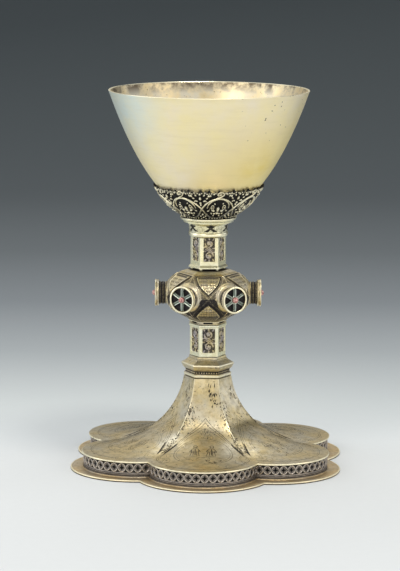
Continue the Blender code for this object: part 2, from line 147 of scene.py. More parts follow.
def lobedBand(profile, perLobe):
    # a closed band along the lobes; profile rows are (lobe radius, height, relief)
    rings = []
    for radius, height, _ in profile:
        angles = lobeAngles(radius, perLobe)
        rings.append(fromFront(angles, lobed(angles, radius), height))
    return gridShape(np.array(rings), np.array([row[2] for row in profile])[:, None], closedRows=True)


def turnedShape(profile, angles, outline=1.0, closedRows=True, material=0):
    # round the main axis; profile rows are (radius, height, relief), up the outside and down the inside
    profile = np.array(profile, dtype=float)
    points = fromFront(angles[None, :], profile[:, :1] * outline, profile[:, 1:2])
    return gridShape(points, profile[:, 2:3], closedRows, material)


def roundShape(profile, columns):
    # round its own z axis, with closed ends; profile rows are (radius, z, relief)
    turn = wholeTurn(columns)
    rows = [np.stack([radius * np.cos(turn), radius * np.sin(turn), np.full(columns, z)], axis=-1)
            for radius, z, _ in profile]
    return capped(gridShape(np.array(rows), np.array([row[2] for row in profile])[:, None]), columns)


def tubeShape(path, radius, relief, outward, sides=8, flat=0.9):
    # a rod along a path, closed at both ends and squeezed a little in the outward direction
    ahead = np.gradient(path, axis=0)
    ahead /= np.linalg.norm(ahead, axis=1, keepdims=True) + 1e-12
    across = np.cross(ahead, outward)
    across /= np.linalg.norm(across, axis=1, keepdims=True) + 1e-12
    out = np.cross(across, ahead)
    turn = wholeTurn(sides)
    ring = across[:, None] * np.cos(turn)[None, :, None] + flat * out[:, None] * np.sin(turn)[None, :, None]
    return flipped(capped(gridShape(path[:, None] + radius[:, None, None] * ring, relief), sides))


def petalShape(length, width, height, pointed, rows, columns=8):
    # a small raised petal or berry on the plane z = 0, from its root at y = 0 to its tip
    t = np.linspace(0, 1, rows)
    half = np.sin(math.pi * np.clip(t, 0.02, 0.98)) ** (1 - 0.4 * pointed) * (1 - pointed * 0.45 * t)
    turn = wholeTurn(columns)
    x = width / 2 * half[:, None] * np.cos(turn)[None, :]
    z = height * half[:, None] * np.sin(turn)[None, :]
    y = np.broadcast_to((t * length)[:, None], x.shape)
    return flipped(capped(gridShape(np.stack([x, y, z], axis=-1)), columns))


def placed(shape, origin, right, up, out):
    return {**shape, "points": shape["points"] @ np.stack([right, up, out]) + origin}


def addPiece(name, shapes, materials, nodes, turn=0.0, sharp=35):
    # one visible piece from its shapes; nodes are the solids that it stands in for
    points, faces, relief, owners, first = [], [], [], [], 0
    for shape in shapes:
        points.append(shape["points"])
        relief.append(np.broadcast_to(shape["relief"], len(shape["points"])))
        faces += [[corner + first for corner in face] for face in shape["faces"]]
        owners += [shape.get("material", 0)] * len(shape["faces"])
        first += len(shape["points"])
    points = np.concatenate(points)
    spin = np.array(Matrix.Rotation(turn, 3, "Z"))
    mesh = bpy.data.meshes.new(name)
    mesh.from_pydata((points @ spin.T * 0.001).tolist(), [], faces)
    tone = mesh.attributes.new("relief", "FLOAT", "POINT")
    tone.data.foreach_set("value", np.concatenate(relief).astype(np.float32))
    for material in materials:
        mesh.materials.append(material)
    mesh.polygons.foreach_set("material_index", owners)
    mesh.shade_smooth()
    mesh.set_sharp_from_angle(angle=math.radians(sharp))
    piece = bpy.data.objects.new(name, mesh)
    bpy.context.scene.collection.objects.link(piece)
    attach(piece, "root")
    if nodes:
        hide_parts(*nodes)
    return piece


def linear(hexColour):
    values = [int(hexColour[i:i + 2], 16) / 255 for i in (1, 3, 5)]
    return [v / 12.92 if v <= 0.04045 else ((v + 0.055) / 1.055) ** 2.4 for v in values] + [1.0]


def addNode(tree, kind, settings, links=None, output=None):
    # settings are the node's own properties or its unlinked sockets; links go into sockets
    node = tree.nodes.new("ShaderNode" + kind)
    for key, value in settings.items():
        if key == "stops":
            while len(node.color_ramp.elements) < len(value):
                node.color_ramp.elements.new(0.5)
            for element, (position, colour) in zip(node.color_ramp.elements, value):
                element.position = position
                element.color = colour
        elif isinstance(key, int) or key in node.inputs:
            node.inputs[key].default_value = value
        else:
            setattr(node, key, value)
    for key, source in (links or {}).items():
        tree.links.new(source, node.inputs[key])
    if output is None:
        output = 2 if settings.get("data_type") == "RGBA" else 0
    return node.outputs[output]


def newMaterial(name):
    # the material with its tree, its shader and places in metres
    material = bpy.data.materials.new(name)
    material.use_nodes = True
    tree = material.node_tree
    return material, tree, tree.nodes["Principled BSDF"], addNode(tree, "TexCoord", {}, output="Object")


def feed(shader, sources):
    # constant values are set on the shader, and sockets are linked into it
    for name, source in sources.items():
        if isinstance(source, float):
            shader.inputs[name].default_value = source
        else:
            shader.id_data.links.new(source, shader.inputs[name])


def perMm(size):
    # noise scale whose features are about this many millimetres wide
    return 1000 / size


def patinatedSilver(name, look):
    # Gilt or bare silver with tarnish in its hollows. The relief attribute is 0 in the deepest ground, about
    # 0.85 on open metal and 1 on edges that are rubbed bright. In a few places a piece sets it low to paint
    # shade instead of tarnish.
    material, tree, shader, place = newMaterial(name)
    relief = addNode(tree, "Attribute", {"attribute_name": "relief"}, output="Fac")
    noise = {}
    for kind, detail, fineness in (("patch", 5.0, 0.62), ("cloud", 4.0, 0.7), ("grit", 3.0, 0.6),
                                   ("pit", 2.0, 0.5), ("dent", 1.0, 0.5)):
        noise[kind] = addNode(tree, "TexNoise", {"Scale": perMm(look[kind + "Size"]), "Detail": detail,
                                                 "Roughness": fineness}, {"Vector": place})
    worn = addNode(tree, "MapRange", {1: look["patchFrom"], 2: look["patchFrom"] + 0.22}, {0: noise["patch"]})
    metal = addNode(tree, "Mix", {"data_type": "RGBA", 6: linear(look["gilding"]), 7: linear(look["worn"])},
                    {0: worn})
    film = addNode(tree, "MapRange", {1: 0.42, 2: 0.72, 4: look["cloud"]}, {0: noise["cloud"]})
    # edges that hands and cloths have rubbed bright
    rub = addNode(tree, "MapRange", {1: 0.9, 2: 0.99, 4: look["rub"]}, {0: relief})
    # tarnish: fills the low places, with a broken edge
    gritPush = addNode(tree, "MapRange", {1: 0.3, 2: 0.7, 3: -look["broken"], 4: look["broken"]},
                       {0: noise["grit"]})
    level = addNode(tree, "Math", {"operation": "ADD"}, {0: relief, 1: gritPush})
    hollow = addNode(tree, "MapRange", {1: look["tarnishTo"], 2: look["tarnishFrom"]}, {0: level})
    # pits: sparse dark specks in the metal
    pit = addNode(tree, "MapRange", {1: look["pitFrom"], 2: look["pitFrom"] + 0.035, 4: look["pits"]},
                  {0: noise["pit"]})
    dark = addNode(tree, "Math", {"operation": "MAXIMUM", "use_clamp": True}, {0: hollow, 1: pit})
    colour = metal
    for share, layer in ((film, "film"), (rub, "rubbed"), (dark, "tarnish")):
        colour = addNode(tree, "Mix", {"data_type": "RGBA", 7: linear(look[layer])}, {0: share, 6: colour})
    smoother, rougher = look["roughness"]
    rough = addNode(tree, "MapRange", {1: 0.3, 2: 0.7, 3: smoother, 4: rougher}, {0: noise["cloud"]})
    # planishing marks under fine rubbing
    both = addNode(tree, "Mix", {0: look["gritBump"]}, {2: noise["dent"], 3: noise["grit"]})
    feed(shader, {
        "Base Color": colour,
        "Metallic": addNode(tree, "MapRange", {3: 1.0, 4: 0.3}, {0: dark}),
        "Roughness": addNode(tree, "Mix", {3: 0.65}, {0: dark, 2: rough}),
        "Normal": addNode(tree, "Bump", {"Strength": look["bump"], "Distance": 0.0004}, {"Height": both})})
    return material


# Gilt silver, raised with hammers, burnished and then handled for centuries. It looks satin, yellow
# where the gilding is left and greyer where it is rubbed away, brown where dirt stays. Sizes are in
# millimetres. Tarnish is full below the relief tarnishFrom and gone above tarnishTo.
wornGilding = {
    "gilding": "#dcc998", "worn": "#d3cbb4", "film": "#8b7b5c", "tarnish": "#251e14",
    "rubbed": "#fdf5d6", "rub": 0.9, "patchSize": 15, "patchFrom": 0.4, "cloudSize": 3.4, "cloud": 0.62,
    "gritSize": 0.9, "gritBump": 0.35, "broken": 0.16, "tarnishFrom": 0.12, "tarnishTo": 0.5,
    "pitSize": 1.7, "pitFrom": 0.685, "pits": 0.85,
    "roughness": (0.26, 0.42), "dentSize": 7, "bump": 0.24,
}
footGilding = patinatedSilver("worn gilt silver, raised and burnished", wornGilding)

# The flat sheet under the gallery. Scuffed where the cup is set down, so duller and more orange.
flangeGilding = patinatedSilver("worn gilt silver sheet, scuffed", {
    **wornGilding, "gilding": "#d8c093", "worn": "#cabda6", "film": "#93805f", "cloud": 0.5,
    "roughness": (0.4, 0.54), "pits": 0.3})

# The same gilding on the stem's frames and dish, where hands have kept it bright.
brightGilding = patinatedSilver("bright gilt silver, filed and burnished", {
    **wornGilding, "gilding": "#efe8be", "worn": "#e9e8d2", "film": "#b5a87c", "cloud": 0.35,
    "cloudSize": 3, "roughness": (0.24, 0.36), "pits": 0.2, "tarnish": "#1c1812"})

# Gilt silver on the knot, chased in relief. Browner, with dirt between the raised parts, and painted shade on
# the lower straps and in the openings below the knot.
knotGilding = patinatedSilver("brown gilt silver, chased", {
    **wornGilding, "gilding": "#e6d6a6", "worn": "#d3cbb6", "film": "#857458", "cloud": 0.5,
    "cloudSize": 2.4, "patchSize": 8, "gritSize": 0.5, "broken": 0.18, "rub": 1.0,
    "tarnishTo": 0.7, "tarnish": "#191418", "pitFrom": 0.7})

# Parcel-gilt silver, cast and pierced. Nearly black in the depths, partly tarnish and partly painted shade in
# the cup behind the openwork, with light on the edges.
castOpenwork = patinatedSilver("tarnished gilt silver, cast and pierced", {
    **wornGilding, "gilding": "#cfc7a6", "worn": "#c6c3b6", "film": "#6c6450", "cloud": 0.5,
    "cloudSize": 1.6, "patchSize": 6, "gritSize": 0.45, "broken": 0.14, "tarnishFrom": 0.3,
    "tarnishTo": 0.95, "roughness": (0.22, 0.36), "tarnish": "#0c0a08", "bump": 0.3})

# Silver strip, cast and pierced. Dull grey bands round openings that look black.
galleryCasting = patinatedSilver("tarnished silver strip, cast and pierced", {
    **wornGilding, "gilding": "#a79e95", "worn": "#968f8a", "film": "#625955", "rubbed": "#c9c2b8",
    "cloud": 0.5, "cloudSize": 1.8, "patchSize": 6, "gritSize": 0.5, "broken": 0.12, "tarnishFrom": 0.2,
    "tarnishTo": 0.8, "roughness": (0.3, 0.46), "tarnish": "#0f0d0c"})

# Silver scrolls on a blackened ground, chased. The ground stays matt black.
blackenedSilver = patinatedSilver("silver on a blackened ground, chased", {
    **wornGilding, "gilding": "#c4b68e", "worn": "#a9a3a6", "film": "#6f665a", "rubbed": "#dcd9ca",
    "cloud": 0.5, "cloudSize": 1.4, "patchSize": 4, "gritSize": 0.4, "broken": 0.22,
    "tarnishFrom": 0.08, "tarnishTo": 0.66, "roughness": (0.26, 0.4), "tarnish": "#1a1817"})

# Silver without gilding, cast. Grey and slightly green from tarnish.
greySilver = patinatedSilver("tarnished silver, cast", {
    **wornGilding, "gilding": "#aeb8ad", "worn": "#929d94", "film": "#5b645c", "rubbed": "#d5ddd2",
    "cloud": 0.45, "cloudSize": 1.2, "patchSize": 3, "gritSize": 0.4, "broken": 0.1,
    "tarnishFrom": 0.15, "tarnishTo": 0.7, "roughness": (0.24, 0.38), "tarnish": "#0c0d0c", "pits": 0.2})

# Dirt packed in engraved lines. Dark brown and matt.
engravedLine = patinatedSilver("tarnish in engraved lines", {
    **wornGilding, "gilding": "#4c4029", "worn": "#6b5c40", "film": "#2e261a", "cloud": 0.8,
    "cloudSize": 2.5, "patchSize": 5, "roughness": (0.5, 0.65), "tarnish": "#18130c",
    "tarnishFrom": 0.15, "tarnishTo": 0.45})
print("chalice: metals made")


def bowlOutside():
    # Gilt silver, raised, planished and burnished. The thin gilding leaves a pale satin surface with level
    # polishing marks, cloudy, with a painted blue-grey reflection on the upper left and a painted yellow
    # reflection on the lower right.
    look = {"gilding": "#f6e8b6", "bare": "#f3e7cc", "coolReflection": "#dae4dc", "yellow": "#ecd36c",
            "marks": "#d9cba2", "pit": "#4a4030", "markSpacing": 2.2, "cloudSize": 22, "pitSize": 2.0}
    material, tree, shader, place = newMaterial("pale gilt silver, raised and burnished")
    sideways, height = (addNode(tree, "SeparateXYZ", {}, {0: place}, axis) for axis in "XZ")
    cloud = addNode(tree, "TexNoise", {"Scale": perMm(look["cloudSize"]), "Detail": 5.0,
                                       "Roughness": 0.6}, {"Vector": place})
    cloudShare = addNode(tree, "MapRange", {1: 0.38, 2: 0.66}, {0: cloud})
    base = addNode(tree, "Mix", {"data_type": "RGBA", 6: linear(look["gilding"]), 7: linear(look["bare"])},
                   {0: cloudShare})
    # painted cool reflection towards the upper left, with a cloudy edge
    lean = addNode(tree, "MapRange", {1: -0.02, 2: -0.045}, {0: sideways})
    upper = addNode(tree, "MapRange", {1: 0.160, 2: 0.188}, {0: height})
    leanUpper = addNode(tree, "Math", {"operation": "MULTIPLY"}, {0: lean, 1: upper})
    leanCloud = addNode(tree, "Math", {"operation": "MULTIPLY"}, {0: leanUpper, 1: cloud})
    coolReflectionShare = addNode(tree, "Math", {"operation": "MULTIPLY", 1: 2.0, "use_clamp": True}, {0: leanCloud})
    # painted warm yellow reflection towards the lower right
    right = addNode(tree, "MapRange", {1: -0.012, 2: 0.03}, {0: sideways})
    lower = addNode(tree, "MapRange", {1: 0.192, 2: 0.160}, {0: height})
    corner = addNode(tree, "Math", {"operation": "MULTIPLY"}, {0: right, 1: lower})
    cornerCloud = addNode(tree, "MapRange", {3: 0.45, 4: 0.95}, {0: cloudShare})
    warmReflectionShare = addNode(tree, "Math", {"operation": "MULTIPLY"}, {0: cornerCloud, 1: corner})
    # level polishing marks, drawn about twice as wide as real ones so that they show
    stretched = addNode(tree, "Mapping", {"Scale": (0.12, 0.12, 1.0)}, {"Vector": place})
    marks = addNode(tree, "TexNoise", {"Scale": perMm(look["markSpacing"]), "Detail": 4.0,
                                       "Roughness": 0.65}, {"Vector": stretched})
    markShare = addNode(tree, "MapRange", {1: 0.5, 2: 0.8, 4: 0.22}, {0: marks})
    # a few black pits, only high on the right
    specks = addNode(tree, "TexNoise", {"Scale": perMm(look["pitSize"]), "Detail": 1.5}, {"Vector": place})
    pitRight = addNode(tree, "MapRange", {1: 0.012, 2: 0.024, 3: -0.12}, {0: sideways})
    pitHigh = addNode(tree, "MapRange", {1: 0.172, 2: 0.182, 3: -0.12, 4: 0.0}, {0: height})
    pitPlace = addNode(tree, "Math", {"operation": "MINIMUM"}, {0: pitRight, 1: pitHigh})
    pitLevel = addNode(tree, "Math", {"operation": "ADD"}, {0: specks, 1: pitPlace})
    pit = addNode(tree, "MapRange", {1: 0.715, 2: 0.735, 4: 0.95}, {0: pitLevel})
    colour = base
    for share, layer in ((coolReflectionShare, "coolReflection"), (warmReflectionShare, "yellow"), (markShare, "marks"), (pit, "pit")):
        colour = addNode(tree, "Mix", {"data_type": "RGBA", 7: linear(look[layer])}, {0: share, 6: colour})
    feed(shader, {
        "Base Color": colour,
        "Metallic": 0.72,  # a haze of fine scratches scatters part of the light
        "Roughness": addNode(tree, "MapRange", {1: 0.3, 2: 0.75, 3: 0.36, 4: 0.48}, {0: marks}),
        "Normal": addNode(tree, "Bump", {"Strength": 0.08, "Distance": 0.0003}, {"Height": marks})})
    return material


def bowlInside():
    # Gilt silver, planished. Warmer than outside, dull and spotted where liquid has stood.
    look = {"gilding": "#e4d2a7", "worn": "#d0cab9", "spots": "#54432b", "spotSize": 1.3, "cloudSize": 9}
    material, tree, shader, place = newMaterial("gilt silver, planished and spotted")
    cloud = addNode(tree, "TexNoise", {"Scale": perMm(look["cloudSize"]), "Detail": 5.0,
                                       "Roughness": 0.65}, {"Vector": place})
    cloudShare = addNode(tree, "MapRange", {1: 0.4, 2: 0.65}, {0: cloud})
    base = addNode(tree, "Mix", {"data_type": "RGBA", 6: linear(look["gilding"]), 7: linear(look["worn"])},
                   {0: cloudShare})
    specks = addNode(tree, "TexNoise", {"Scale": perMm(look["spotSize"]), "Detail": 3.0,
                                        "Roughness": 0.6}, {"Vector": place})
    pit = addNode(tree, "MapRange", {1: 0.63, 2: 0.72, 4: 0.75}, {0: specks})
    # a broken brown line of dirt just under the rim
    height = addNode(tree, "SeparateXYZ", {}, {0: place}, "Z")
    nearRim = addNode(tree, "MapRange", {1: 0.1935, 2: 0.1982}, {0: height})
    broken = addNode(tree, "MapRange", {1: 0.46, 2: 0.6, 3: 0.04, 4: 0.85}, {0: cloud})
    rimDirt = addNode(tree, "Math", {"operation": "MULTIPLY"}, {0: nearRim, 1: broken})
    dirt = addNode(tree, "Math", {"operation": "MAXIMUM"}, {0: pit, 1: rimDirt})
    spotted = addNode(tree, "Mix", {"data_type": "RGBA", 7: linear(look["spots"])}, {0: dirt, 6: base})
    feed(shader, {
        "Base Color": spotted,
        "Metallic": 1.0,
        "Roughness": addNode(tree, "MapRange", {1: 0.35, 2: 0.7, 3: 0.34, 4: 0.5}, {0: cloud}),
        "Normal": addNode(tree, "Bump", {"Strength": 0.3, "Distance": 0.0005}, {"Height": cloud})})
    return material


def polishedStone():
    # Garnet-like glass paste, cut en cabochon and polished. Dull pink, cloudy, with a small highlight.
    look = {"deep": "#7a4846", "body": "#b8807b", "pale": "#dcb9b0", "veinSize": 0.9}
    material, tree, shader, place = newMaterial("pink stone, polished")
    veins = addNode(tree, "TexNoise", {"Scale": perMm(look["veinSize"]), "Detail": 3.0}, {"Vector": place})
    stops = [(0.34, linear(look["deep"])), (0.5, linear(look["body"])), (0.66, linear(look["pale"]))]
    feed(shader, {"Base Color": addNode(tree, "ValToRGB", {"stops": stops}, {0: veins}),
                  "Roughness": 0.15, "IOR": 1.54})
    return material


bowlOuter = bowlOutside()
bowlInner = bowlInside()
stoneSurface = polishedStone()
print("chalice: bowl and stone surfaces made")


# flange: a flat sheet with a raised bead, which the chalice stands on
flange = {"lobeRadius": 35.45, "innerRadius": 25.5, "beadRadius": 29.1, "perLobe": 64}


def makeFlange():
    low, high = boxes["foot_flange"]
    base, top = low[2], high[2]
    outer, inner, bead = flange["lobeRadius"], flange["innerRadius"], flange["beadRadius"]
    # the lowest half millimetre of the edge has relief 0 and turns black: a painted contact shadow where the
    # sheet meets the floor
    profile = [
        (outer - 0.3, base, 0.0), (outer - 0.08, base + 0.12, 0.0), (outer - 0.02, base + 0.4, 0.1),
        (outer, base + 0.5, 0.8), (outer, top - 0.35, 1), (outer - 0.12, top - 0.1, 1),
        (outer - 0.4, top, 1), (outer - 0.75, top, 0.88), (outer - 1.0, top - 0.08, 0.6),
        (outer - 1.2, top, 0.87),
        (outer - 2.8, top - 0.03, 0.87), (bead + 0.8, top - 0.02, 0.8), (bead + 0.1, top, 0.35),
        (bead, top + 0.15, 0.55), (bead - 0.12, top + 0.3, 0.8), (bead - 0.3, top + 0.3, 0.8),
        (bead - 0.42, top + 0.12, 0.3), (bead - 0.5, top, 0.1), (inner + 0.2, top, 0.3),
        (inner, top - 0.2, 0.3), (inner, base + 0.2, 0.3), (inner + 0.2, base, 0.3)]
    shape = lobedBand(profile, flange["perLobe"])
    addPiece("foot_flange_sheet", [shape], [flangeGilding], ["foot_flange"], footTurn)


# gallery: eighteen pierced rings to a lobe on a moulded plinth
gallery = {"outerRadius": 28.6, "thickness": 0.9, "ringsPerLobe": 18, "plinthHeight": 2.3, "railHeight": 0.3,
           "openingSize": 0.84, "openingWave": 0.4, "ringOverlap": 1.08, "ringSquareness": 0.86,
           "ringPoints": 32, "perLobe": 48}


def galleryRing(halfWidth, halfHeight):
    # one ring in its own plane: x along the band, y outward and z up
    turn = wholeTurn(gallery["ringPoints"])
    cosine, sine, power = np.cos(turn), np.sin(turn), gallery["ringSquareness"]
    leaf = gallery["openingSize"] * (1 + gallery["openingWave"] * np.cos(4 * turn))
    edgeX = halfWidth * np.sign(cosine) * np.abs(cosine) ** power
    edgeZ = halfHeight * np.sign(sine) * np.abs(sine) ** power
    leafX, leafZ = leaf * cosine, leaf * 1.1 * sine
    # (share of the way from the opening to the edge, distance outward, relief)
    stations = [(0, -0.45, 0.0), (0, 0.0, 0.2), (0.08, 0.14, 0.6), (0.22, 0.18, 0.75), (0.34, 0.12, 0.5),
                (0.44, 0.16, 0.45), (0.52, 0.4, 0.85), (0.66, 0.52, 1), (0.84, 0.46, 0.95), (1, 0.1, 0.2),
                (1, -0.45, 0.0)]
    rows = [np.stack([leafX + (edgeX - leafX) * share, np.full(len(turn), lift),
                      leafZ + (edgeZ - leafZ) * share], axis=-1) for share, lift, _ in stations]
    tones = np.array([tone for _, _, tone in stations])[:, None]
    return flipped(gridShape(np.array(rows), tones, closedRows=True))


def makeGallery():
    low, high = boxes["foot_gallery"]
    base, top = low[2], high[2]
    outer, inner = gallery["outerRadius"], gallery["outerRadius"] - gallery["thickness"]
    plinthTop, railBase = base + gallery["plinthHeight"], top - gallery["railHeight"]
    plinth = [(outer, base, 0.4), (outer, base + 0.35, 0.8), (outer - 0.25, base + 0.5, 0.2),
              (outer - 0.25, base + 0.75, 0.3), (outer, base + 0.95, 0.8), (outer - 0.02, base + 1.3, 0.55),
              (outer - 0.22, base + 1.5, 0.25), (outer - 0.05, base + 1.7, 0.75),
              (outer - 0.05, base + 2.0, 0.8), (outer - 0.25, plinthTop, 0.3), (inner, plinthTop, 0.1),
              (inner, base, 0.1)]
    # the rail under the foot plate's overhang is set nearly black: painted shade under the plate
    rail = [(inner, railBase, 0.05), (outer - 0.35, railBase, 0.1), (outer - 0.3, top, 0.15),
            (inner, top, 0.05)]
    shapes = [lobedBand(plinth, gallery["perLobe"]), lobedBand(rail, gallery["perLobe"])]
    middle = (outer + inner) / 2
    swing = lobeSwing(middle)
    pitch = 2 * swing * middle / gallery["ringsPerLobe"]
    ringLow = base + gallery["plinthHeight"] - 0.15
    ring = galleryRing(pitch / 2 * gallery["ringOverlap"], (top - ringLow) / 2)
    for lobe in range(6):
        for number in range(gallery["ringsPerLobe"]):
            facing = lobe * sector + swing * (2 * (number + 0.5) / gallery["ringsPerLobe"] - 1)
            right, out = facingAxes(facing)
            centre = fromFront(lobe * sector, lobeReach, 0) + fromFront(facing, middle, 0)
            shapes.append(placed(ring, centre + zAxis * (ringLow + top) / 2, right, out, zAxis))
    addPiece("foot_gallery_rings", shapes, [galleryCasting], ["foot_gallery"],
             footTurn)


# foot: one raised sheet that goes from six lobes below to a hexagon at its top
foot = {"lobeRadius": 29.6, "sheet": 0.8, "topRadius": 12.8, "blendHeight": 13.4, "ridgeWidth": 1.2,
        "perLobe": 60, "rows": 90}


def footSurface(angles, t):
    # outside of the foot: distance and height for each angle (columns) and place on a ridge (rows)
    low, high = boxes["foot"]
    plate, rise = low[2] + foot["sheet"], high[2] - low[2] - foot["sheet"]
    cusp = float(lobed(halfSector, foot["lobeRadius"]))
    ridge = bezier([(cusp, plate), (0.60 * cusp, plate), (1.23 * foot["topRadius"], plate + 0.45 * rise),
                    (foot["topRadius"], plate + rise)], t)
    share = np.maximum(0, 1 - (ridge[:, 1] - plate) / foot["blendHeight"])[:, None] ** 1.5
    wide = lobed(angles, foot["lobeRadius"])[None, :] * ridge[:, :1] / cusp
    distance = share * wide + (1 - share) * hexagon(angles, 0.004)[None, :] * ridge[:, :1]
    return distance, np.broadcast_to(ridge[:, 1:2], distance.shape)


def makeFoot():
    low, _ = boxes["foot"]
    angles = lobeAngles(foot["lobeRadius"], foot["perLobe"])
    t = np.linspace(0, 1, foot["rows"])
    distance, height = footSurface(angles, t)
    outer = fromFront(angles[None, :], distance, height)
    edge = lobed(angles, foot["lobeRadius"])
    outer[0] = fromFront(angles, edge - 0.2, low[2] + foot["sheet"])
    rim = [fromFront(angles, edge - 0.15, low[2]), fromFront(angles, edge, low[2] + 0.15),
           fromFront(angles, edge, low[2] + foot["sheet"] - 0.2),
           fromFront(angles, edge - 0.06, low[2] + foot["sheet"] - 0.06)]
    # the inside follows the outside, one sheet thickness in
    along = np.gradient(outer, axis=0)
    around = np.roll(outer, -1, axis=1) - np.roll(outer, 1, axis=1)
    normal = np.cross(around, along)
    normal /= np.linalg.norm(normal, axis=-1, keepdims=True) + 1e-9
    inner = (outer - normal * foot["sheet"])[::-3]
    points = np.concatenate([rim, outer, inner])
    # the six ridges are rubbed bright above the lobes
    a = np.abs(fold(angles))
    onRidge = smooth(1 - (halfSector - a) / math.radians(foot["ridgeWidth"]))[None, :]
    tones = 0.87 + 0.13 * onRidge * smooth((height - 12) / 6)
    tones = np.concatenate([np.full((4, len(angles)), 1.0), tones, np.full((len(inner), len(angles)), 0.5)])
    tones[0] = 0.3
    tones[4] = 0.97
    shape = gridShape(points, tones, closedRows=True)
    addPiece("foot_sheet", [shape], [footGilding], ["foot"], footTurn)


# engraving: lines follow the sheet and are given in each lobe's plan (across, outward)
engraving = {"lineWidth": 0.6, "lift": 0.04, "step": 0.6, "rimInset": 5.0, "chevronTop": 18.6,
             "chevronFoot": (17.8, 35.0), "chevronGap": 1.25, "medallionCentre": 43.2,
             "medallionRadii": (15.4, 13.7), "figures": (-4.4, 4.2), "frontStrength": 1.0,
             "sideStrength": 0.72, "relief": 0.2, "chevronStrokes": 34, "plantStrokes": 22, "leaves": 9,
             "pitsPerRidge": 95, "pitsPerGroup": 20, "seed": 7,
             # loose groups of pits: across, outward, spread
             "pitGroups": [(2, 12.4, 0.8), (4.8, 13.6, 1.0), (-6.8, 17, 1.4), (-5.5, 20, 1.6),
                           (5.5, 23, 1.6)]}


planAngles = 41


def footHeights():
    # heights of the foot's outside over a regular plan grid: angle from a lobe's middle, and distance
    angles = np.linspace(0, halfSector, planAngles)
    distances = np.linspace(foot["topRadius"] - 2, lobeReach + foot["lobeRadius"], 360)
    own, height = footSurface(angles, np.linspace(0, 1, 300))
    return distances, np.array([np.interp(-distances, -own[:, i], height[:, i])
                                for i in range(planAngles)])


planDistances, planHeights = footHeights()


def onFoot(angles, distances):
    # heights of the foot's outside at these places
    row = np.abs(fold(angles)) / halfSector * (planAngles - 1)
    column = (distances - planDistances[0]) / (planDistances[1] - planDistances[0])
    row, column = np.clip(row, 0, planAngles - 1.001), np.clip(column, 0, len(planDistances) - 1.001)
    i, j = row.astype(int), column.astype(int)
    f, g = row - i, column - j
    return ((1 - f) * ((1 - g) * planHeights[i, j] + g * planHeights[i, j + 1])
            + f * ((1 - g) * planHeights[i + 1, j] + g * planHeights[i + 1, j + 1]))


def figureLines(x, width):
    # a plain standing figure in a robe: head, shoulders, hem and folds
    lines = [(arc((x, 36.4), (1.0, 1.1), -180, 180, 14), width)]
    for side in (-1, 1):
        robe = [(0.5, 37.7), (1.9, 39.2), (1.7, 42.0), (2.5, 46.2)]
        sleeve = [(1.8, 39.5), (2.9, 41.4), (0.9, 42.0)]
        seam = [(0.7, 40.5), (0.9, 46)]
        for line, thick in ((robe, width), (sleeve, 1.3 * width), (seam, width)):
            lines.append(([(x + side * across, outward) for across, outward in line], thick))
    lines.append(([(x - 2.5, 46.2), (x, 46.9), (x + 2.5, 46.2)], width))
    lines.append(([(x, 38.4), (x + 0.2, 45.5)], 1.4 * width))
    return lines


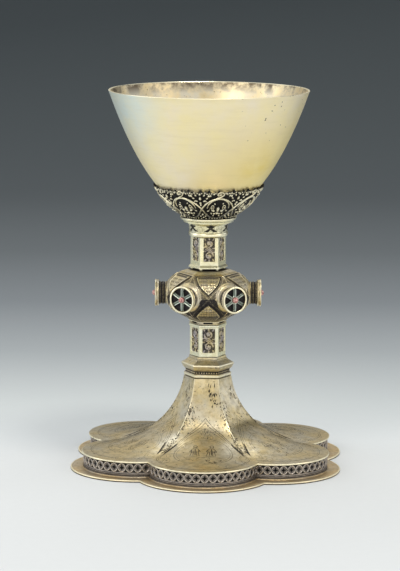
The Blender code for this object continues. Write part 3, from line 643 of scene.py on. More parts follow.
def lobeLines(strong, chance):
    # every engraved line of one lobe, with its width
    width, top = engraving["lineWidth"] * strong, engraving["chevronTop"]
    footX, footY = engraving["chevronFoot"]
    gap, radii = engraving["chevronGap"], engraving["medallionRadii"]
    centre = (0, engraving["medallionCentre"])
    lineRadius = foot["lobeRadius"] - engraving["rimInset"]
    lines = []
    # border that runs parallel to the lobe
    for inset, thick in ((0, 1.0), (0.9, 0.6)):
        radius = lineRadius - inset
        reach = math.degrees(lobeSwing(radius)) - 3
        lines.append((arc((0, lobeReach), (radius, radius), -reach, reach, 90), width * thick))
    # double chevron, shaded with short strokes inside its point
    for step, thick in ((0, 1.0), (gap, 0.9), (2.3 * gap, 0.55)):
        for side in (-1, 1):
            points = [(0, top + 1.25 * step), (side * 0.5 * footX, top + 0.44 * (footY - top) + step),
                      (side * (footX - 0.8 * step), footY + 0.3 * step)]
            lines.append((points, width * thick))
    for _ in range(engraving["chevronStrokes"]):
        y = top + 4 + 6.5 * chance.random()
        x = (y - top - 3) * chance.uniform(-0.75, 0.75)
        lines.append(([(x, y), (x + chance.uniform(-0.5, 0.5), y + 0.9)], width * chance.uniform(0.5, 1.0)))
    # medallion: two rings round two plain figures, with plants below them
    lines.append((arc(centre, radii, -180, 180, 90), width * 0.9))
    lines.append((arc(centre, (radii[0] - 1.3, radii[1] - 1.2), -180, 180, 90), width * 0.55))
    for x in engraving["figures"]:
        lines += figureLines(x, 1.35 * width)
    for _ in range(engraving["plantStrokes"]):
        x, y = chance.uniform(-9, 9), chance.uniform(48.0, 55)
        turn, bend = chance.uniform(-1.4, 1.4), chance.uniform(-1.6, 1.6)
        stroke = [(x + s * math.sin(turn + bend * s), y + s * math.cos(turn + bend * s))
                  for s in (0, 0.9, 1.9)]
        lines.append((stroke, width * chance.uniform(0.8, 1.5)))
    lines.append(([(-10.5, 47.6), (0, 48.3), (10.5, 47.6)], width * 0.8))
    # leaves at the feet of the ridges, then tendrils towards the rim
    for side in (-1, 1):
        for number in range(engraving["leaves"]):
            x, y = side * (14.2 + 0.72 * number), 31.0 + 0.72 * number
            leaf = [(x, y), (x + side * 0.3, y + 1.6), (x + side * 1.5, y + 3.3 + 0.12 * number)]
            thick = (1.6 + 0.7 * (number % 2)) * (0.4 + 0.6 * strong)
            lines.append((leaf, engraving["lineWidth"] * thick))
        lines.append(([(side * 17, 44), (side * 20, 47.5), (side * 21.5, 52)], width * 0.7))
        lines.append((arc((side * 19.5, 50), (2.6, 3.2), -120, 150, 16), width * 0.7))
        lines.append((arc((side * 20.8, 43.5), (1.8, 2.4), -150, 120, 14), width * 0.7))
        lines.append((arc((side * 15.5, 59.5), (3.0, 2.2), -150, 120, 16), width * 0.7))
    lines.append(([(-5, 60.5), (0, 61.7), (5, 60.5)], width * 0.6))
    # pits along both ridges, thickest beside the front lobe
    for side in (-1, 1):
        for _ in range(int(engraving["pitsPerRidge"] * strong**2)):
            reach = 16 + 27 * chance.random() ** 0.8
            x = side * (reach * 0.5 - abs(chance.normal(0.0, 0.9)) - 0.1)
            y = reach * flatRatio + chance.normal(0, 0.3)
            turn, size = chance.uniform(0, math.pi), chance.uniform(0.3, 1.2)
            pit = [(x, y), (x + size * math.cos(turn), y + size * math.sin(turn))]
            lines.append((pit, chance.uniform(0.4, 1.05)))
    # pits in loose groups on the facet
    for centreX, centreY, spread in engraving["pitGroups"]:
        for _ in range(int(engraving["pitsPerGroup"] * strong**2)):
            x, y = centreX + chance.normal(0, spread), centreY + chance.normal(0, spread)
            if y > 11.4:
                slant = chance.uniform(-0.6, 0.6)
                lines.append(([(x, y), (x + slant, y + 0.35)], chance.uniform(0.4, 1.0)))
    return lines


def engravedShape(line, lobe, width):
    # a line as a low strip sunk at its edges, on the given lobe
    line = np.asarray(line, dtype=float)
    lengths = np.concatenate([[0], np.cumsum(np.linalg.norm(np.diff(line, axis=0), axis=1))])
    count = max(3, int(lengths[-1] / engraving["step"]) + 1)
    at = np.linspace(0, lengths[-1], count)
    x, y = np.interp(at, lengths, line[:, 0]), np.interp(at, lengths, line[:, 1])
    ahead = np.stack([np.gradient(x), np.gradient(y)], axis=-1)
    ahead /= np.linalg.norm(ahead, axis=1, keepdims=True) + 1e-9
    swell = width / 2 * (0.35 + 0.65 * np.sin(math.pi * np.clip(at / lengths[-1], 0.06, 0.94)) ** 0.4)
    columns = []
    for side, lift in ((-1, -0.05), (0, engraving["lift"]), (1, -0.05)):
        px = x - side * ahead[:, 1] * swell
        py = y + side * ahead[:, 0] * swell
        angle = np.arctan2(px, py) + lobe * sector
        distance = np.hypot(px, py)
        columns.append(fromFront(angle, distance, onFoot(angle, distance) + lift))
    points = np.array(columns).transpose(1, 0, 2)
    index = np.arange(count * 3).reshape(count, 3)
    faces = np.stack([index[:-1, :-1], index[:-1, 1:], index[1:, 1:], index[1:, :-1]], axis=-1)
    return {"points": points.reshape(-1, 3), "faces": faces.reshape(-1, 4).tolist(),
            "relief": engraving["relief"]}


def arc(centre, radii, start, end, count):
    turn = np.radians(np.linspace(start, end, count))
    return np.stack([centre[0] + radii[0] * np.sin(turn), centre[1] + radii[1] * np.cos(turn)], axis=-1)


def makeEngraving():
    shapes = []
    chance = np.random.default_rng(engraving["seed"])
    for lobe in range(6):
        strong = engraving["frontStrength"] if lobe == 0 else engraving["sideStrength"]
        for line, width in lobeLines(strong, chance):
            shapes.append(engravedShape(line, lobe, width))
    addPiece("foot_engraving", shapes, [engravedLine], [], footTurn)


makeFlange()
makeGallery()
makeFoot()
makeEngraving()
print("chalice: foot made")


# collar: a hexagonal moulding with small beads in its groove
collar = {"neckRadius": 10.1, "widestRadius": 14.2, "beadRadius": 12.8, "grooveDepth": 0.9,
          "boreRadius": 7.29, "studsPerSide": 9, "perSide": 24}


def makeCollar():
    low, high = boxes["foot_collar"]
    base, tall = low[2], high[2] - low[2]
    neck, wide, bead = collar["neckRadius"], collar["widestRadius"], collar["beadRadius"]
    groove = bead - collar["grooveDepth"]
    # rows are (radius, share of the height, relief)
    profile = [
        (bead - 0.3, 0, 0.3), (bead, 0.03, 0.9), (bead + 0.02, 0.09, 0.97), (bead, 0.15, 0.9),
        (bead - 0.35, 0.18, 0.4), (groove, 0.2, 0.05), (groove, 0.3, 0.0), (groove + 0.3, 0.335, 0.2),
        (groove + 0.9, 0.36, 0.8), (wide * 0.95, 0.45, 0.85), (wide * 0.965, 0.51, 0.86),
        (wide * 0.975, 0.535, 0.6), (wide, 0.575, 0.9), (wide, 0.635, 1), (wide * 0.992, 0.65, 0.97),
        (wide * 0.93, 0.69, 0.85), (wide * 0.85, 0.75, 0.8), (wide * 0.83, 0.775, 0.5),
        (wide * 0.80, 0.79, 0.85), (neck + 0.45, 0.86, 0.8), (neck + 0.3, 0.88, 0.4), (neck, 0.9, 0.6),
        (neck, 0.97, 0.9), (neck - 0.1, 1, 0.5), (collar["boreRadius"], 1, 0.2),
        (collar["boreRadius"], 0, 0.2)]
    profile = [(radius, base + share * tall, tone) for radius, share, tone in profile]
    angles = sideAngles(collar["perSide"])
    shapes = [turnedShape(profile, angles, hexagon(angles, 0.01))]
    # small cast beads in the groove
    beadBall = {**petalShape(0.9, 0.9, 0.35, pointed=0, rows=5), "relief": 0.7}
    for side in range(6):
        right, out = facingAxes(side * sector)
        for number in range(collar["studsPerSide"]):
            x = (number + 0.5) / collar["studsPerSide"] - 0.5
            origin = out * (groove * flatRatio) + right * x * groove + zAxis * (base + 0.205 * tall)
            shapes.append(placed(beadBall, origin, right, zAxis, out))
    addPiece("foot_collar_moulding", shapes, [knotGilding], ["foot_collar"], footTurn)


makeCollar()
print("chalice: collar made")


# stem sleeves: a frame round six sunk panels, each with a chased scroll
lowerStem = {"radius": 9.6, "bandRadius": 10.1, "bandHeight": 1.4, "panel": (6.6, 12.9), "panelLift": 0.8,
             "bore": 7.29, "bandAtTop": True}
upperStem = {"radius": 9.5, "bandRadius": 10.5, "bandHeight": 1.4, "panel": (6.0, 12.7), "panelLift": 1.1,
             "bore": 7.19, "bandAtTop": False}
stemPanel = {"depth": 0.6, "scrollRelief": 0.42, "strokeWidth": 0.4, "perSide": 56, "rowHeight": 0.16,
             "slotHeight": 0.78, "slotDepth": 0.9}


def strokeField(x, y, lines):
    # raised strokes on a plane: 1 on the middle of a line, 0 beyond its half width
    field = np.zeros_like(x)
    for line, halfWidth in lines:
        line = np.asarray(line, dtype=float)
        for (x0, y0), (x1, y1) in zip(line[:-1], line[1:]):
            dx, dy = x1 - x0, y1 - y0
            t = np.clip(((x - x0) * dx + (y - y0) * dy) / (dx * dx + dy * dy + 1e-9), 0, 1)
            away = np.hypot(x - x0 - t * dx, y - y0 - t * dy)
            field = np.maximum(field, np.sqrt(np.clip(1 - (away / halfWidth) ** 2, 0, 1)))
    return field


def spiral(centre, fromRadius, toRadius, start, turns, count=28):
    t = np.linspace(0, 1, count)
    turn = math.radians(start) + 2 * math.pi * turns * t
    radius = fromRadius + (toRadius - fromRadius) * t
    return np.stack([centre[0] + radius * np.cos(turn), centre[1] + radius * np.sin(turn)], axis=-1)


def panelScroll(width, tall, mirror):
    # an S-shaped stem with a curl and a flower at each end, and leaves off its sides
    w = stemPanel["strokeWidth"]
    h, r = tall / 2, width * 0.36
    lines = []
    for sign in (1, -1):
        flower = (0, sign * h * 0.52)
        lines.append((spiral(flower, r, 0.5, 90 + 90 * sign, 1.25), w))
        lines.append(([(flower[0] - 0.25, flower[1]), (flower[0] + 0.25, flower[1])], w * 1.9))
        for turn in range(0, 360, 72):
            a = math.radians(turn + 20)
            tip = (flower[0] + 1.0 * math.cos(a), flower[1] + 1.0 * math.sin(a))
            lines.append(([(flower[0] + 0.5 * math.cos(a), flower[1] + 0.5 * math.sin(a)), tip], w * 0.8))
        for x, y, turn in ((0.38, 0.90, 60), (-0.38, 0.90, 120), (-0.40, 0.22, 200), (0.42, 0.12, 10),
                           (0.0, 0.93, 90)):
            a = math.radians(turn * sign if sign > 0 else turn + 180)
            px, py = sign * x * width, sign * y * h
            lines.append(([(px - 0.5 * math.cos(a), py - 0.5 * math.sin(a)),
                           (px + 0.4 * math.cos(a), py + 0.4 * math.sin(a))], w * 1.15))
    lines.append(([(-r, h * 0.5), (-r * 0.8, h * 0.2), (0, 0), (r * 0.8, -h * 0.2), (r, -h * 0.5)], w * 1.1))
    lines.append(([(-r * 0.25, h * 0.22), (r * 0.45, 0.03 * h), (r * 0.95, -h * 0.05)], w * 0.8))
    lines.append(([(r * 0.25, -h * 0.22), (-r * 0.45, -0.03 * h), (-r * 0.95, h * 0.05)], w * 0.8))
    if mirror:
        lines = [([(-x, y) for x, y in line], thick) for line, thick in lines]
    return lines


def makeStem(name, node, sizes, turn):
    low, high = boxes[node]
    base, top = low[2], high[2]
    band, tall = sizes["bandHeight"], top - base
    radius, bandRadius = sizes["radius"], sizes["bandRadius"]
    width, height = sizes["panel"]
    slotTop = base + stemPanel["slotHeight"]
    # outline of a face as (height, radius), and where its panel starts
    if sizes["bandAtTop"]:
        outline = [(base, radius), (top - band, radius), (top - 0.75 * band, bandRadius),
                   (top - 0.1, bandRadius), (top, bandRadius - 0.1)]
        panelBase = base + (tall - band - height) / 2 + sizes["panelLift"]
    else:
        outline = [(base, radius - 0.1), (slotTop, radius), (slotTop + 0.1, bandRadius),
                   (slotTop + 0.75, bandRadius), (base + 1.8 * band, radius), (top, radius)]
        panelBase = base + 1.8 * band + (tall - 1.8 * band - height) / 2 + sizes["panelLift"]
    outline = np.array(outline)
    rows = np.unique(np.concatenate([np.arange(base, top, stemPanel["rowHeight"]), outline[:, 0]]))
    flat = np.interp(rows, outline[:, 0], outline[:, 1]) * flatRatio
    s = np.linspace(-1, 1, stemPanel["perSide"], endpoint=False)
    u = s[None, :] * flat[:, None] * math.tan(halfSector)
    v = np.broadcast_to((rows - panelBase - height / 2)[:, None], u.shape)
    inside = np.minimum(width / 2 - np.abs(u), height / 2 - np.abs(v))
    sunk = smooth((inside + 0.05) / 0.22)
    # dark slots below the flange of the upper sleeve, with a bridge at each corner; the slots are shallow
    # cuts set black, painted shade for the depth of an opening
    slot = (rows < slotTop)[:, None] * smooth((0.8 - np.abs(s)) / 0.08)[None, :] * (not sizes["bandAtTop"])
    faces, tones = [], []
    scrolls = [np.zeros_like(u), np.zeros_like(u)]
    for scroll, mirror in zip(scrolls, (False, True)):
        scroll[sunk > 0] = strokeField(u[sunk > 0], v[sunk > 0], panelScroll(width, height, mirror))
    cornerRub = smooth((np.abs(s) - 0.9) / 0.1)[None, :]
    for side in range(6):
        scroll = scrolls[side % 2] * sunk
        lift = (-stemPanel["depth"] * sunk + stemPanel["scrollRelief"] * scroll
                - stemPanel["slotDepth"] * slot - 0.05 * cornerRub)
        face = np.stack([u, -(flat[:, None] + lift), np.broadcast_to(rows[:, None], u.shape)], axis=-1)
        faces.append(face @ np.array(Matrix.Rotation(side * sector, 3, "Z")).T)
        byPanel = 0.3 * smooth((inside + 0.5) / 0.5) * (1 - sunk)
        # frame tone is 0 in the slots: painted shade
        frameTone = (0.88 + 0.12 * cornerRub) * (1 - byPanel) * (1 - slot)
        tones.append(np.where(sunk > 0.5, 0.16 + 0.74 * scroll, frameTone))
    around = np.concatenate([halfSector * s + side * sector for side in range(6)])
    bore = sizes["bore"] * hexagon(around, 0)
    inner = np.array([fromFront(around, bore, top), fromFront(around, bore, base)])
    points = np.concatenate([np.concatenate(faces, axis=1), inner])
    tones = np.concatenate([np.concatenate(tones, axis=1), np.full((2, len(around)), 0.05)])
    shape = gridShape(points, tones, closedRows=True)
    # panel faces take the blackened silver, the frame the bright gilding
    inPanel = np.concatenate([np.concatenate([sunk > 0.35] * 6, axis=1), np.zeros((2, len(around)), bool)])
    picked = (inPanel & np.roll(inPanel, -1, axis=0) & np.roll(inPanel, -1, axis=1)).reshape(-1)
    faces = np.array(shape["faces"])
    shape["faces"] = faces[~picked].tolist() + faces[picked].tolist()
    piece = addPiece(name, [shape], [brightGilding, blackenedSilver], [node], turn, sharp=50)
    piece.data.polygons.foreach_set("material_index", np.sort(picked).astype(int).tolist())


makeStem("lower_stem_sleeve", "lower_stem", lowerStem, stemTurn)
makeStem("upper_stem_sleeve", "upper_stem", upperStem, stemTurn)
print("chalice: stem made")


# knot: raised triangles with bright rims, dark crossed straps and mouldings round the studs
knot = {"radius": 23.0, "halfHeight": 15.5, "beadRadius": 10.4, "beadHeight": 2.3, "crease": 0.703,
        "rise": 0.89, "topRadius": 11.0, "panelRelief": 0.6, "rimWidth": 0.7, "strapWidth": 5.0,
        "bossReach": 9.4, "bossRelief": 0.6, "perSide": 96, "rows": 120, "bore": 7.29,
        # in degrees: latitudes, half widths there, and where the row ends
        "upperTriangles": ([9, 27, 41], [0.2, 13, 20], 42),
        "lowerTriangles": ([12.5, 27, 43], [0.4, 11.5, 21], 43)}


def knotCentre():
    low, _ = boxes["knot"]
    return low[2] + knot["beadHeight"] + knot["rise"] * knot["halfHeight"]


def makeKnot():
    low, high = boxes["knot"]
    centre = knotCentre()
    s = np.linspace(-1, 1, knot["perSide"], endpoint=False)
    angles = np.concatenate([halfSector * s + side * sector for side in range(6)])
    a = fold(angles)[None, :]
    creaseLatitude = math.degrees(math.asin(knot["crease"]))
    latitude = np.linspace(-43, creaseLatitude, knot["rows"])
    phi = np.radians(latitude)[:, None]
    roundness = smooth((50 - np.abs(latitude)) / 25)[:, None]
    roundness = roundness * smooth((creaseLatitude - latitude) / 4)[:, None]
    shape = roundness + (1 - roundness) * hexagon(angles, 0)[None, :]
    base = knot["radius"] * np.cos(phi) * shape
    height = centre + knot["halfHeight"] * np.sin(phi) + 0 * base
    # millimetres across the face and up along it
    across = np.abs(base * a)
    up = np.degrees(phi)
    stepUp = knot["radius"] * math.pi / 180 * 0.86
    girth = knot["radius"] * np.cos(phi)

    def triangles(latitude, latitudes, halfWidths, end):
        # how far inside a row of triangles a place is, and the bright rim along their sides
        fromSide = (girth * np.radians(np.interp(latitude, latitudes, halfWidths)) - across) * 0.83
        inside = np.minimum(fromSide + np.minimum(latitude - latitudes[0], 0) * stepUp * 0.6,
                            (end - latitude) * stepUp)
        rim = smooth(fromSide / 0.15 + 0.3) * (latitude > latitudes[0] - 1)
        return inside, rim * smooth((knot["rimWidth"] - fromSide) / 0.15)

    insideUpper, rimUpper = triangles(up, *knot["upperTriangles"])
    insideLower, rimLower = triangles(-up, *knot["lowerTriangles"])
    inside = np.maximum(insideUpper, insideLower)
    raised = smooth((inside + 0.15) / 0.25)
    rim = np.maximum(rimUpper, rimLower) * raised
    field = smooth((inside - knot["rimWidth"] + 0.1) / 0.2)
    # leafy hatching inside the triangles
    hatch = (np.sin(across * 3.6 + up * 0.5) * np.sin(across * 3.6 - up * 0.5)) * 0.5 + 0.5
    stem = smooth(1 - across / 0.4)
    leafy = np.maximum(hatch, stem) * field
    # straps: sunk bands along the outside of both triangles, crossing between them
    strapUpper = smooth((insideUpper + knot["strapWidth"]) / 0.3) * smooth((-0.05 - insideUpper) / 0.2)
    strapLower = smooth((insideLower + knot["strapWidth"] + 0.5) / 0.3) * smooth((-0.05 - insideLower) / 0.2)
    reach = across < 0.98 * base * halfSector
    strap = np.maximum(strapUpper * (up > -7), strapLower * (up < 5)) * reach
    toStud = np.hypot(base * np.sin(halfSector - np.abs(a)), height - centre)
    boss = smooth((knot["bossReach"] - toStud) / 3)
    strap = strap * (1 - smooth((np.where(up > 0, 8.3, 7.8) - toStud) / 0.8)) * (1 - raised)
    roll = smooth(1 - np.abs(toStud - 8.3) / 0.8)
    ditch = smooth(1 - np.abs(toStud - 7.4) / 0.4)
    seam = smooth(1 - np.abs(toStud - 9.3) / 0.4) * (1 - raised)
    # a raised cord along the middle of each strap
    middle = np.minimum(np.abs(insideUpper + 1.9), np.abs(insideLower + 2.3))
    cord = smooth(1 - middle / 0.4) * strap
    gutter = np.maximum(smooth(1 - np.abs(insideUpper + 0.45) / 0.5) * (up > 0),
                        smooth(1 - np.abs(insideLower + 0.6) / 0.6) * (up < 0)) * strap
    lift = (knot["panelRelief"] * raised + 0.28 * rim - 0.3 * field + 0.3 * leafy - 0.45 * strap
            + 0.28 * cord + knot["bossRelief"] * boss + 0.08 * roll - 0.2 * ditch - 0.1 * seam)
    # straps below the crossing get a lower tone than those above: painted shade on the lower straps, over
    # tarnish in the sunk bands
    strapTarnishAndShade = np.where(up > 0, 0.27, 0.08) - 0.25 * gutter + np.where(up > 0, 0.28, 0.14) * cord
    tones = 0.86 - 0.4 * ditch - 0.35 * seam
    tones = tones * (1 - strap) + np.clip(strapTarnishAndShade, 0, 1) * strap
    tones = np.where(raised > 0.5, 0.18 + 0.68 * leafy, tones)
    tones = np.maximum(tones, rim * 1.0)
    body = fromFront(angles[None, :], base + lift, height)
    hexShape = hexagon(angles, 0.008)
    bead, bottom = knot["beadRadius"], low[2]
    # the openings below the knot are shallow cuts set black: painted shade for the depth of an opening
    slot = smooth((math.radians(17) - np.abs(a[0])) / math.radians(1.5))  # dark openings below the knot

    def ringAt(radius, z, tone, cutIn=0.0):
        around = fromFront(angles, radius * hexShape - cutIn * slot, z)
        return around, tone * (1 - slot) if cutIn else np.full(len(angles), tone)

    # rows are (share of the bead's radius, height above the bottom, relief, depth of the openings)
    lower = [ringAt(bead * share, bottom + above, tone, cutIn) for share, above, tone, cutIn in (
        (0.96, 0, 0.3, 0), (0.985, 0.1, 0.85, 0), (0.985, 0.35, 0.85, 0), (0.94, 0.45, 0.5, 0),
        (0.94, 0.52, 0.6, 0.8), (0.94, 1.2, 0.6, 0.8), (0.955, 1.28, 0.6, 0), (1.0, 1.4, 0.97, 0),
        (1.01, 1.75, 0.9, 0), (0.98, 1.95, 0.4, 0))]
    crease, top = centre + knot["halfHeight"] * knot["crease"], high[2]
    creaseRadius = knot["radius"] * math.sqrt(1 - knot["crease"] ** 2)
    upper = [ringAt(creaseRadius * 0.985, crease + 0.14, 0.97),
             ringAt(creaseRadius * 0.90, crease + 0.62, 0.86)]
    for share, tone in ((0.22, 0.86), (0.30, 0.5), (0.34, 0.86), (0.62, 0.85), (0.7, 0.55), (0.74, 0.85),
                        (0.9, 0.7)):
        radius = creaseRadius + (knot["topRadius"] - creaseRadius) * share
        upper.append(ringAt(radius, crease + (top - crease) * share + 0.3 * (1 - share), tone))
    upper.append(ringAt(knot["topRadius"] * 0.985, top - 0.02, 0.1))
    inner = [ringAt(knot["bore"], top, 0.05), ringAt(knot["bore"], bottom, 0.05)]
    rows = np.concatenate([[p for p, _ in lower], body, [p for p, _ in upper], [p for p, _ in inner]])
    tones = np.concatenate([[t for _, t in lower], tones, [t for _, t in upper], [t for _, t in inner]])
    shape = gridShape(rows, tones, closedRows=True)
    addPiece("knot_body", [shape], [knotGilding], ["knot"], knotTurn, sharp=50)


makeKnot()
print("chalice: knot made")


# studs: six turned tubes in the knot, each with a silver star and a stone in its face
stud = {"reach": 28.3, "length": 11.7, "tubeRadius": 6.1, "flangeRadius": 7.2, "flangeThickness": 2.2,
        "recessRadius": 6.25, "recessDepth": 1.6, "columns": 72}
star = {"thickness": 0.9, "armWidth": 1.75, "tipRadius": 6.0, "hubRadius": 2.2, "hubColumns": 36,
        "seatGap": 0.3}
stone = {"radius": 1.55, "height": 1.9, "columns": 28}


def onStud(shape, side, distance):
    # a shape made round its own z axis, set on the axis of a stud
    right, out = facingAxes(side * sector - halfSector + knotTurn)
    return placed(shape, out * distance + zAxis * knotCentre(), right, zAxis, out)


def studShape():
    # a turned tube in its own axes: x and y across it, z along it
    face, wide = stud["length"], stud["flangeRadius"]
    back, tube = stud["length"] - stud["flangeThickness"], stud["tubeRadius"]
    floor, recess = stud["length"] - stud["recessDepth"], stud["recessRadius"]
    profile = [
        (0.05, 0, 0.2), (tube - 0.3, 0, 0.2), (tube, 0.3, 0.3), (tube, 4.9, 0.85), (tube - 0.2, 5.1, 0.4),
        (tube - 0.3, 5.5, 0.2), (tube, 5.7, 0.45), (tube + 0.05, 6.1, 0.5), (tube - 0.25, 6.3, 0.1),
        (tube - 0.4, 6.9, 0.05), (tube - 0.1, 7.1, 0.2), (tube + 0.05, 7.5, 0.3), (tube - 0.2, 7.75, 0.05),
        (tube - 0.45, 8.5, 0.05), (tube - 0.1, 8.7, 0.15), (tube, 9.0, 0.3), (tube - 0.1, back - 0.1, 0.05),
        (tube + 0.3, back + 0.02, 0.15), (wide - 0.35, back + 0.1, 0.8), (wide - 0.05, back + 0.3, 0.97),
        (wide - 0.3, back + 0.7, 0.6), (wide - 0.3, back + 1.0, 0.6), (wide - 0.1, back + 1.2, 0.87),
        (wide, face - 0.45, 0.9), (wide - 0.02, face - 0.12, 1), (wide - 0.2, face, 1),
        (recess + 0.15, face, 1), (recess, face - 0.15, 0.8), (recess - 0.02, face - 0.5, 0.1),
        (recess - 0.1, floor + 0.1, 0.0),
        (recess - 0.3, floor, 0.0), (0.05, floor, 0.0)]
    # the tube is fluted near its flange
    flutes = 0.12 * np.cos(12 * wholeTurn(stud["columns"]))
    profile = [(radius + flutes if 7.7 < z < 8.7 else radius, z, tone) for radius, z, tone in profile]
    return roundShape(profile, stud["columns"])


def starShape():
    # six arms with a groove along each, round a raised hub
    half, tall, hub = star["armWidth"] / 2, star["thickness"], star["hubRadius"]
    section = np.array([(-half, 0, 0.1), (-half, 0.6 * tall, 0.7), (-0.75 * half, tall, 1),
                        (-0.45 * half, 0.9 * tall, 0.8), (0, 0.45 * tall, 0.25),
                        (0.45 * half, 0.9 * tall, 0.8), (0.75 * half, tall, 1),
                        (half, 0.6 * tall, 0.7), (half, 0, 0.1)])
    along = np.linspace(0.4, star["tipRadius"], 14)[:, None]
    taper = 1.12 - 0.12 * along / star["tipRadius"]
    drop = 0.25 * smooth((along - 4.5) / 1.6)
    rows = np.broadcast_arrays(section[:, 0] * taper, along, section[:, 1] * (1 - drop))
    arm = capped(gridShape(np.stack(rows, axis=-1), section[:, 2]), len(section))
    arms = [{**arm, "points": arm["points"] @ np.array(Matrix.Rotation(side * sector, 3, "Z")).T}
            for side in range(6)]
    disc = roundShape([(0.05, 0, 0.1), (hub, 0, 0.1), (hub, 0.7, 0.7), (hub - 0.2, tall - 0.02, 1),
                       (hub - 0.45, tall - 0.05, 0.8), (hub - 0.55, tall - 0.15, 0.1),
                       (0.05, tall - 0.15, 0.1)], star["hubColumns"])
    return arms + [disc]


def stoneShape():
    r, h = stone["radius"], stone["height"]
    profile = [(0.05, 0), (r * 0.95, 0), (r, 0.1 * h), (r, 0.3 * h), (0.93 * r, 0.52 * h),
               (0.78 * r, 0.72 * h), (0.56 * r, 0.87 * h), (0.3 * r, 0.965 * h), (0.04, h)]
    facets = 1 + 0.03 * np.cos(7 * wholeTurn(stone["columns"]))
    return roundShape([(radius * facets, z, 1.0) for radius, z in profile], stone["columns"])


def makeStuds():
    root = stud["reach"] - stud["length"]
    starBase = root + stud["length"] - stud["recessDepth"] + star["seatGap"]
    stoneBase = starBase + star["thickness"] + 0.05
    kinds = [("stud", "tube", [studShape()], root, knotGilding, "gilt_silver"),
             ("star", "arms", starShape(), starBase, greySilver, "grey_silver"),
             ("stone", "gem", [stoneShape()], stoneBase, stoneSurface, "pink_stone")]
    for side in range(6):
        for kind, part, shapes, distance, material, slotName in kinds:
            node = f"{kind}_{side + 1}"
            turned = [onStud(shape, side, distance) for shape in shapes]
            addPiece(f"{node}_{part}", turned, [material], [node])


makeStuds()
print("chalice: studs made")


# dish: a ring, a neck and a flared lip, turned in one piece, with a painted reflection repeated round the
# neck
dish = {"lipRadius": 15.0, "neckRadius": 10.1, "ringProjection": 0.4, "seatDepth": 1.4,
        "seatRadius": 11.3, "bore": 7.19, "neckReflections": 6, "columns": 288, "turn": 0.12}


def makeDish():
    low, high = boxes["calyx_dish"]
    base, tall = low[2], high[2] - low[2]
    lip, neck, ring = dish["lipRadius"], dish["neckRadius"], dish["ringProjection"]
    step = lip - neck
    # rows are (radius, share of the height, relief)
    outside = [(neck - ring, 0, 0.3), (neck + ring - 0.1, 0.06, 0.9), (neck + ring, 0.11, 1),
               (neck + ring, 0.17, 1), (neck + ring - 0.12, 0.21, 0.7), (neck + 0.02, 0.235, 0.2)]
    for share in np.linspace(0.25, 0.54, 14):
        outside.append((neck + 0.06 * step * smooth((share - 0.28) / 0.26), share, 0.42))
    for t in np.linspace(0.1, 1, 8):
        outside.append((neck + step * (0.06 + 0.6 * t**1.7), 0.54 + 0.21 * math.sin(t * math.pi / 2), 0.48))
    outside += [(lip - 0.34 * step, 0.80, 0.8), (lip - 0.31 * step, 0.84, 0.25),
                (lip - 0.25 * step, 0.86, 0.3), (lip - 0.10 * step, 0.88, 1),
                (lip - 0.05 * step, 0.90, 1), (lip - 0.05 * step, 0.925, 0.4),
                (lip - 0.01 * step, 0.945, 0.9), (lip, 0.97, 1), (lip - 0.03, 1.0, 1), (lip - 0.6, 1.0, 0.9),
                (lip - 0.95, 0.97, 0.3)]
    seat = 1 - dish["seatDepth"] / tall
    inside = [(dish["seatRadius"], seat, 0.0), (dish["bore"], seat, 0.0), (dish["bore"], 0, 0.1)]
    profile = np.array(outside + inside, dtype=float)
    angles = wholeTurn(dish["columns"], -math.pi)
    points = fromFront(angles[None, :], profile[:, :1], base + tall * profile[:, 1:2])
    tones = profile[:, 2:3] * np.ones((1, len(angles)))
    # painted reflection round the neck, repeated six times: each a dark shape with a pointed patch of the
    # plain neck tone left in it
    share = profile[:, 1:2]
    cell = (angles * dish["neckReflections"] / (2 * math.pi) + 0.5) % 1 - 0.5
    across = np.abs(cell)[None, :] * 2 * math.pi * neck / dish["neckReflections"]
    upward = (share - 0.25) * tall
    dark = (across < 0.8 + 4.0 * np.clip((2.6 - upward) / 2.6, 0, 1)) & (upward > 0.5) & (upward < 4.3)
    dark |= (across < 0.7 + 1.6 * smooth((upward - 2.4) / 1.2)) & (upward > 2.4) & (upward < 4.1)
    bright = across < 1.9 * (1 - upward / 1.9)
    onNeck = (share > 0.24) & (share < 0.70)
    rank = np.arange(len(profile))[:, None] < len(outside)
    tones = np.where(onNeck & rank & dark & ~bright, 0.05, tones)
    shape = gridShape(points, tones, closedRows=True)
    addPiece("calyx_dish_turned", [shape], [brightGilding], ["calyx_dish"],
             dish["turn"])


makeDish()
print("chalice: dish made")


# bowl: a plain cone with a rounded bottom and a gilded rim
bowl = {"rimRadius": 53.2, "wall": 0.9, "columns": 200, "rows": 54}


def bowlCurve():
    low, high = boxes["bowl"]
    rim, tall = bowl["rimRadius"], high[2] - low[2]
    return [(0, low[2]), (0.236 * rim, low[2]), (0.64 * rim, low[2] + 0.1866 * tall), (rim, high[2])]


def bowlRadiusAt(height):
    t = np.linspace(0, 1, 600)
    curve = bezier(bowlCurve(), t)
    return float(np.interp(height, curve[:, 1], curve[:, 0]))


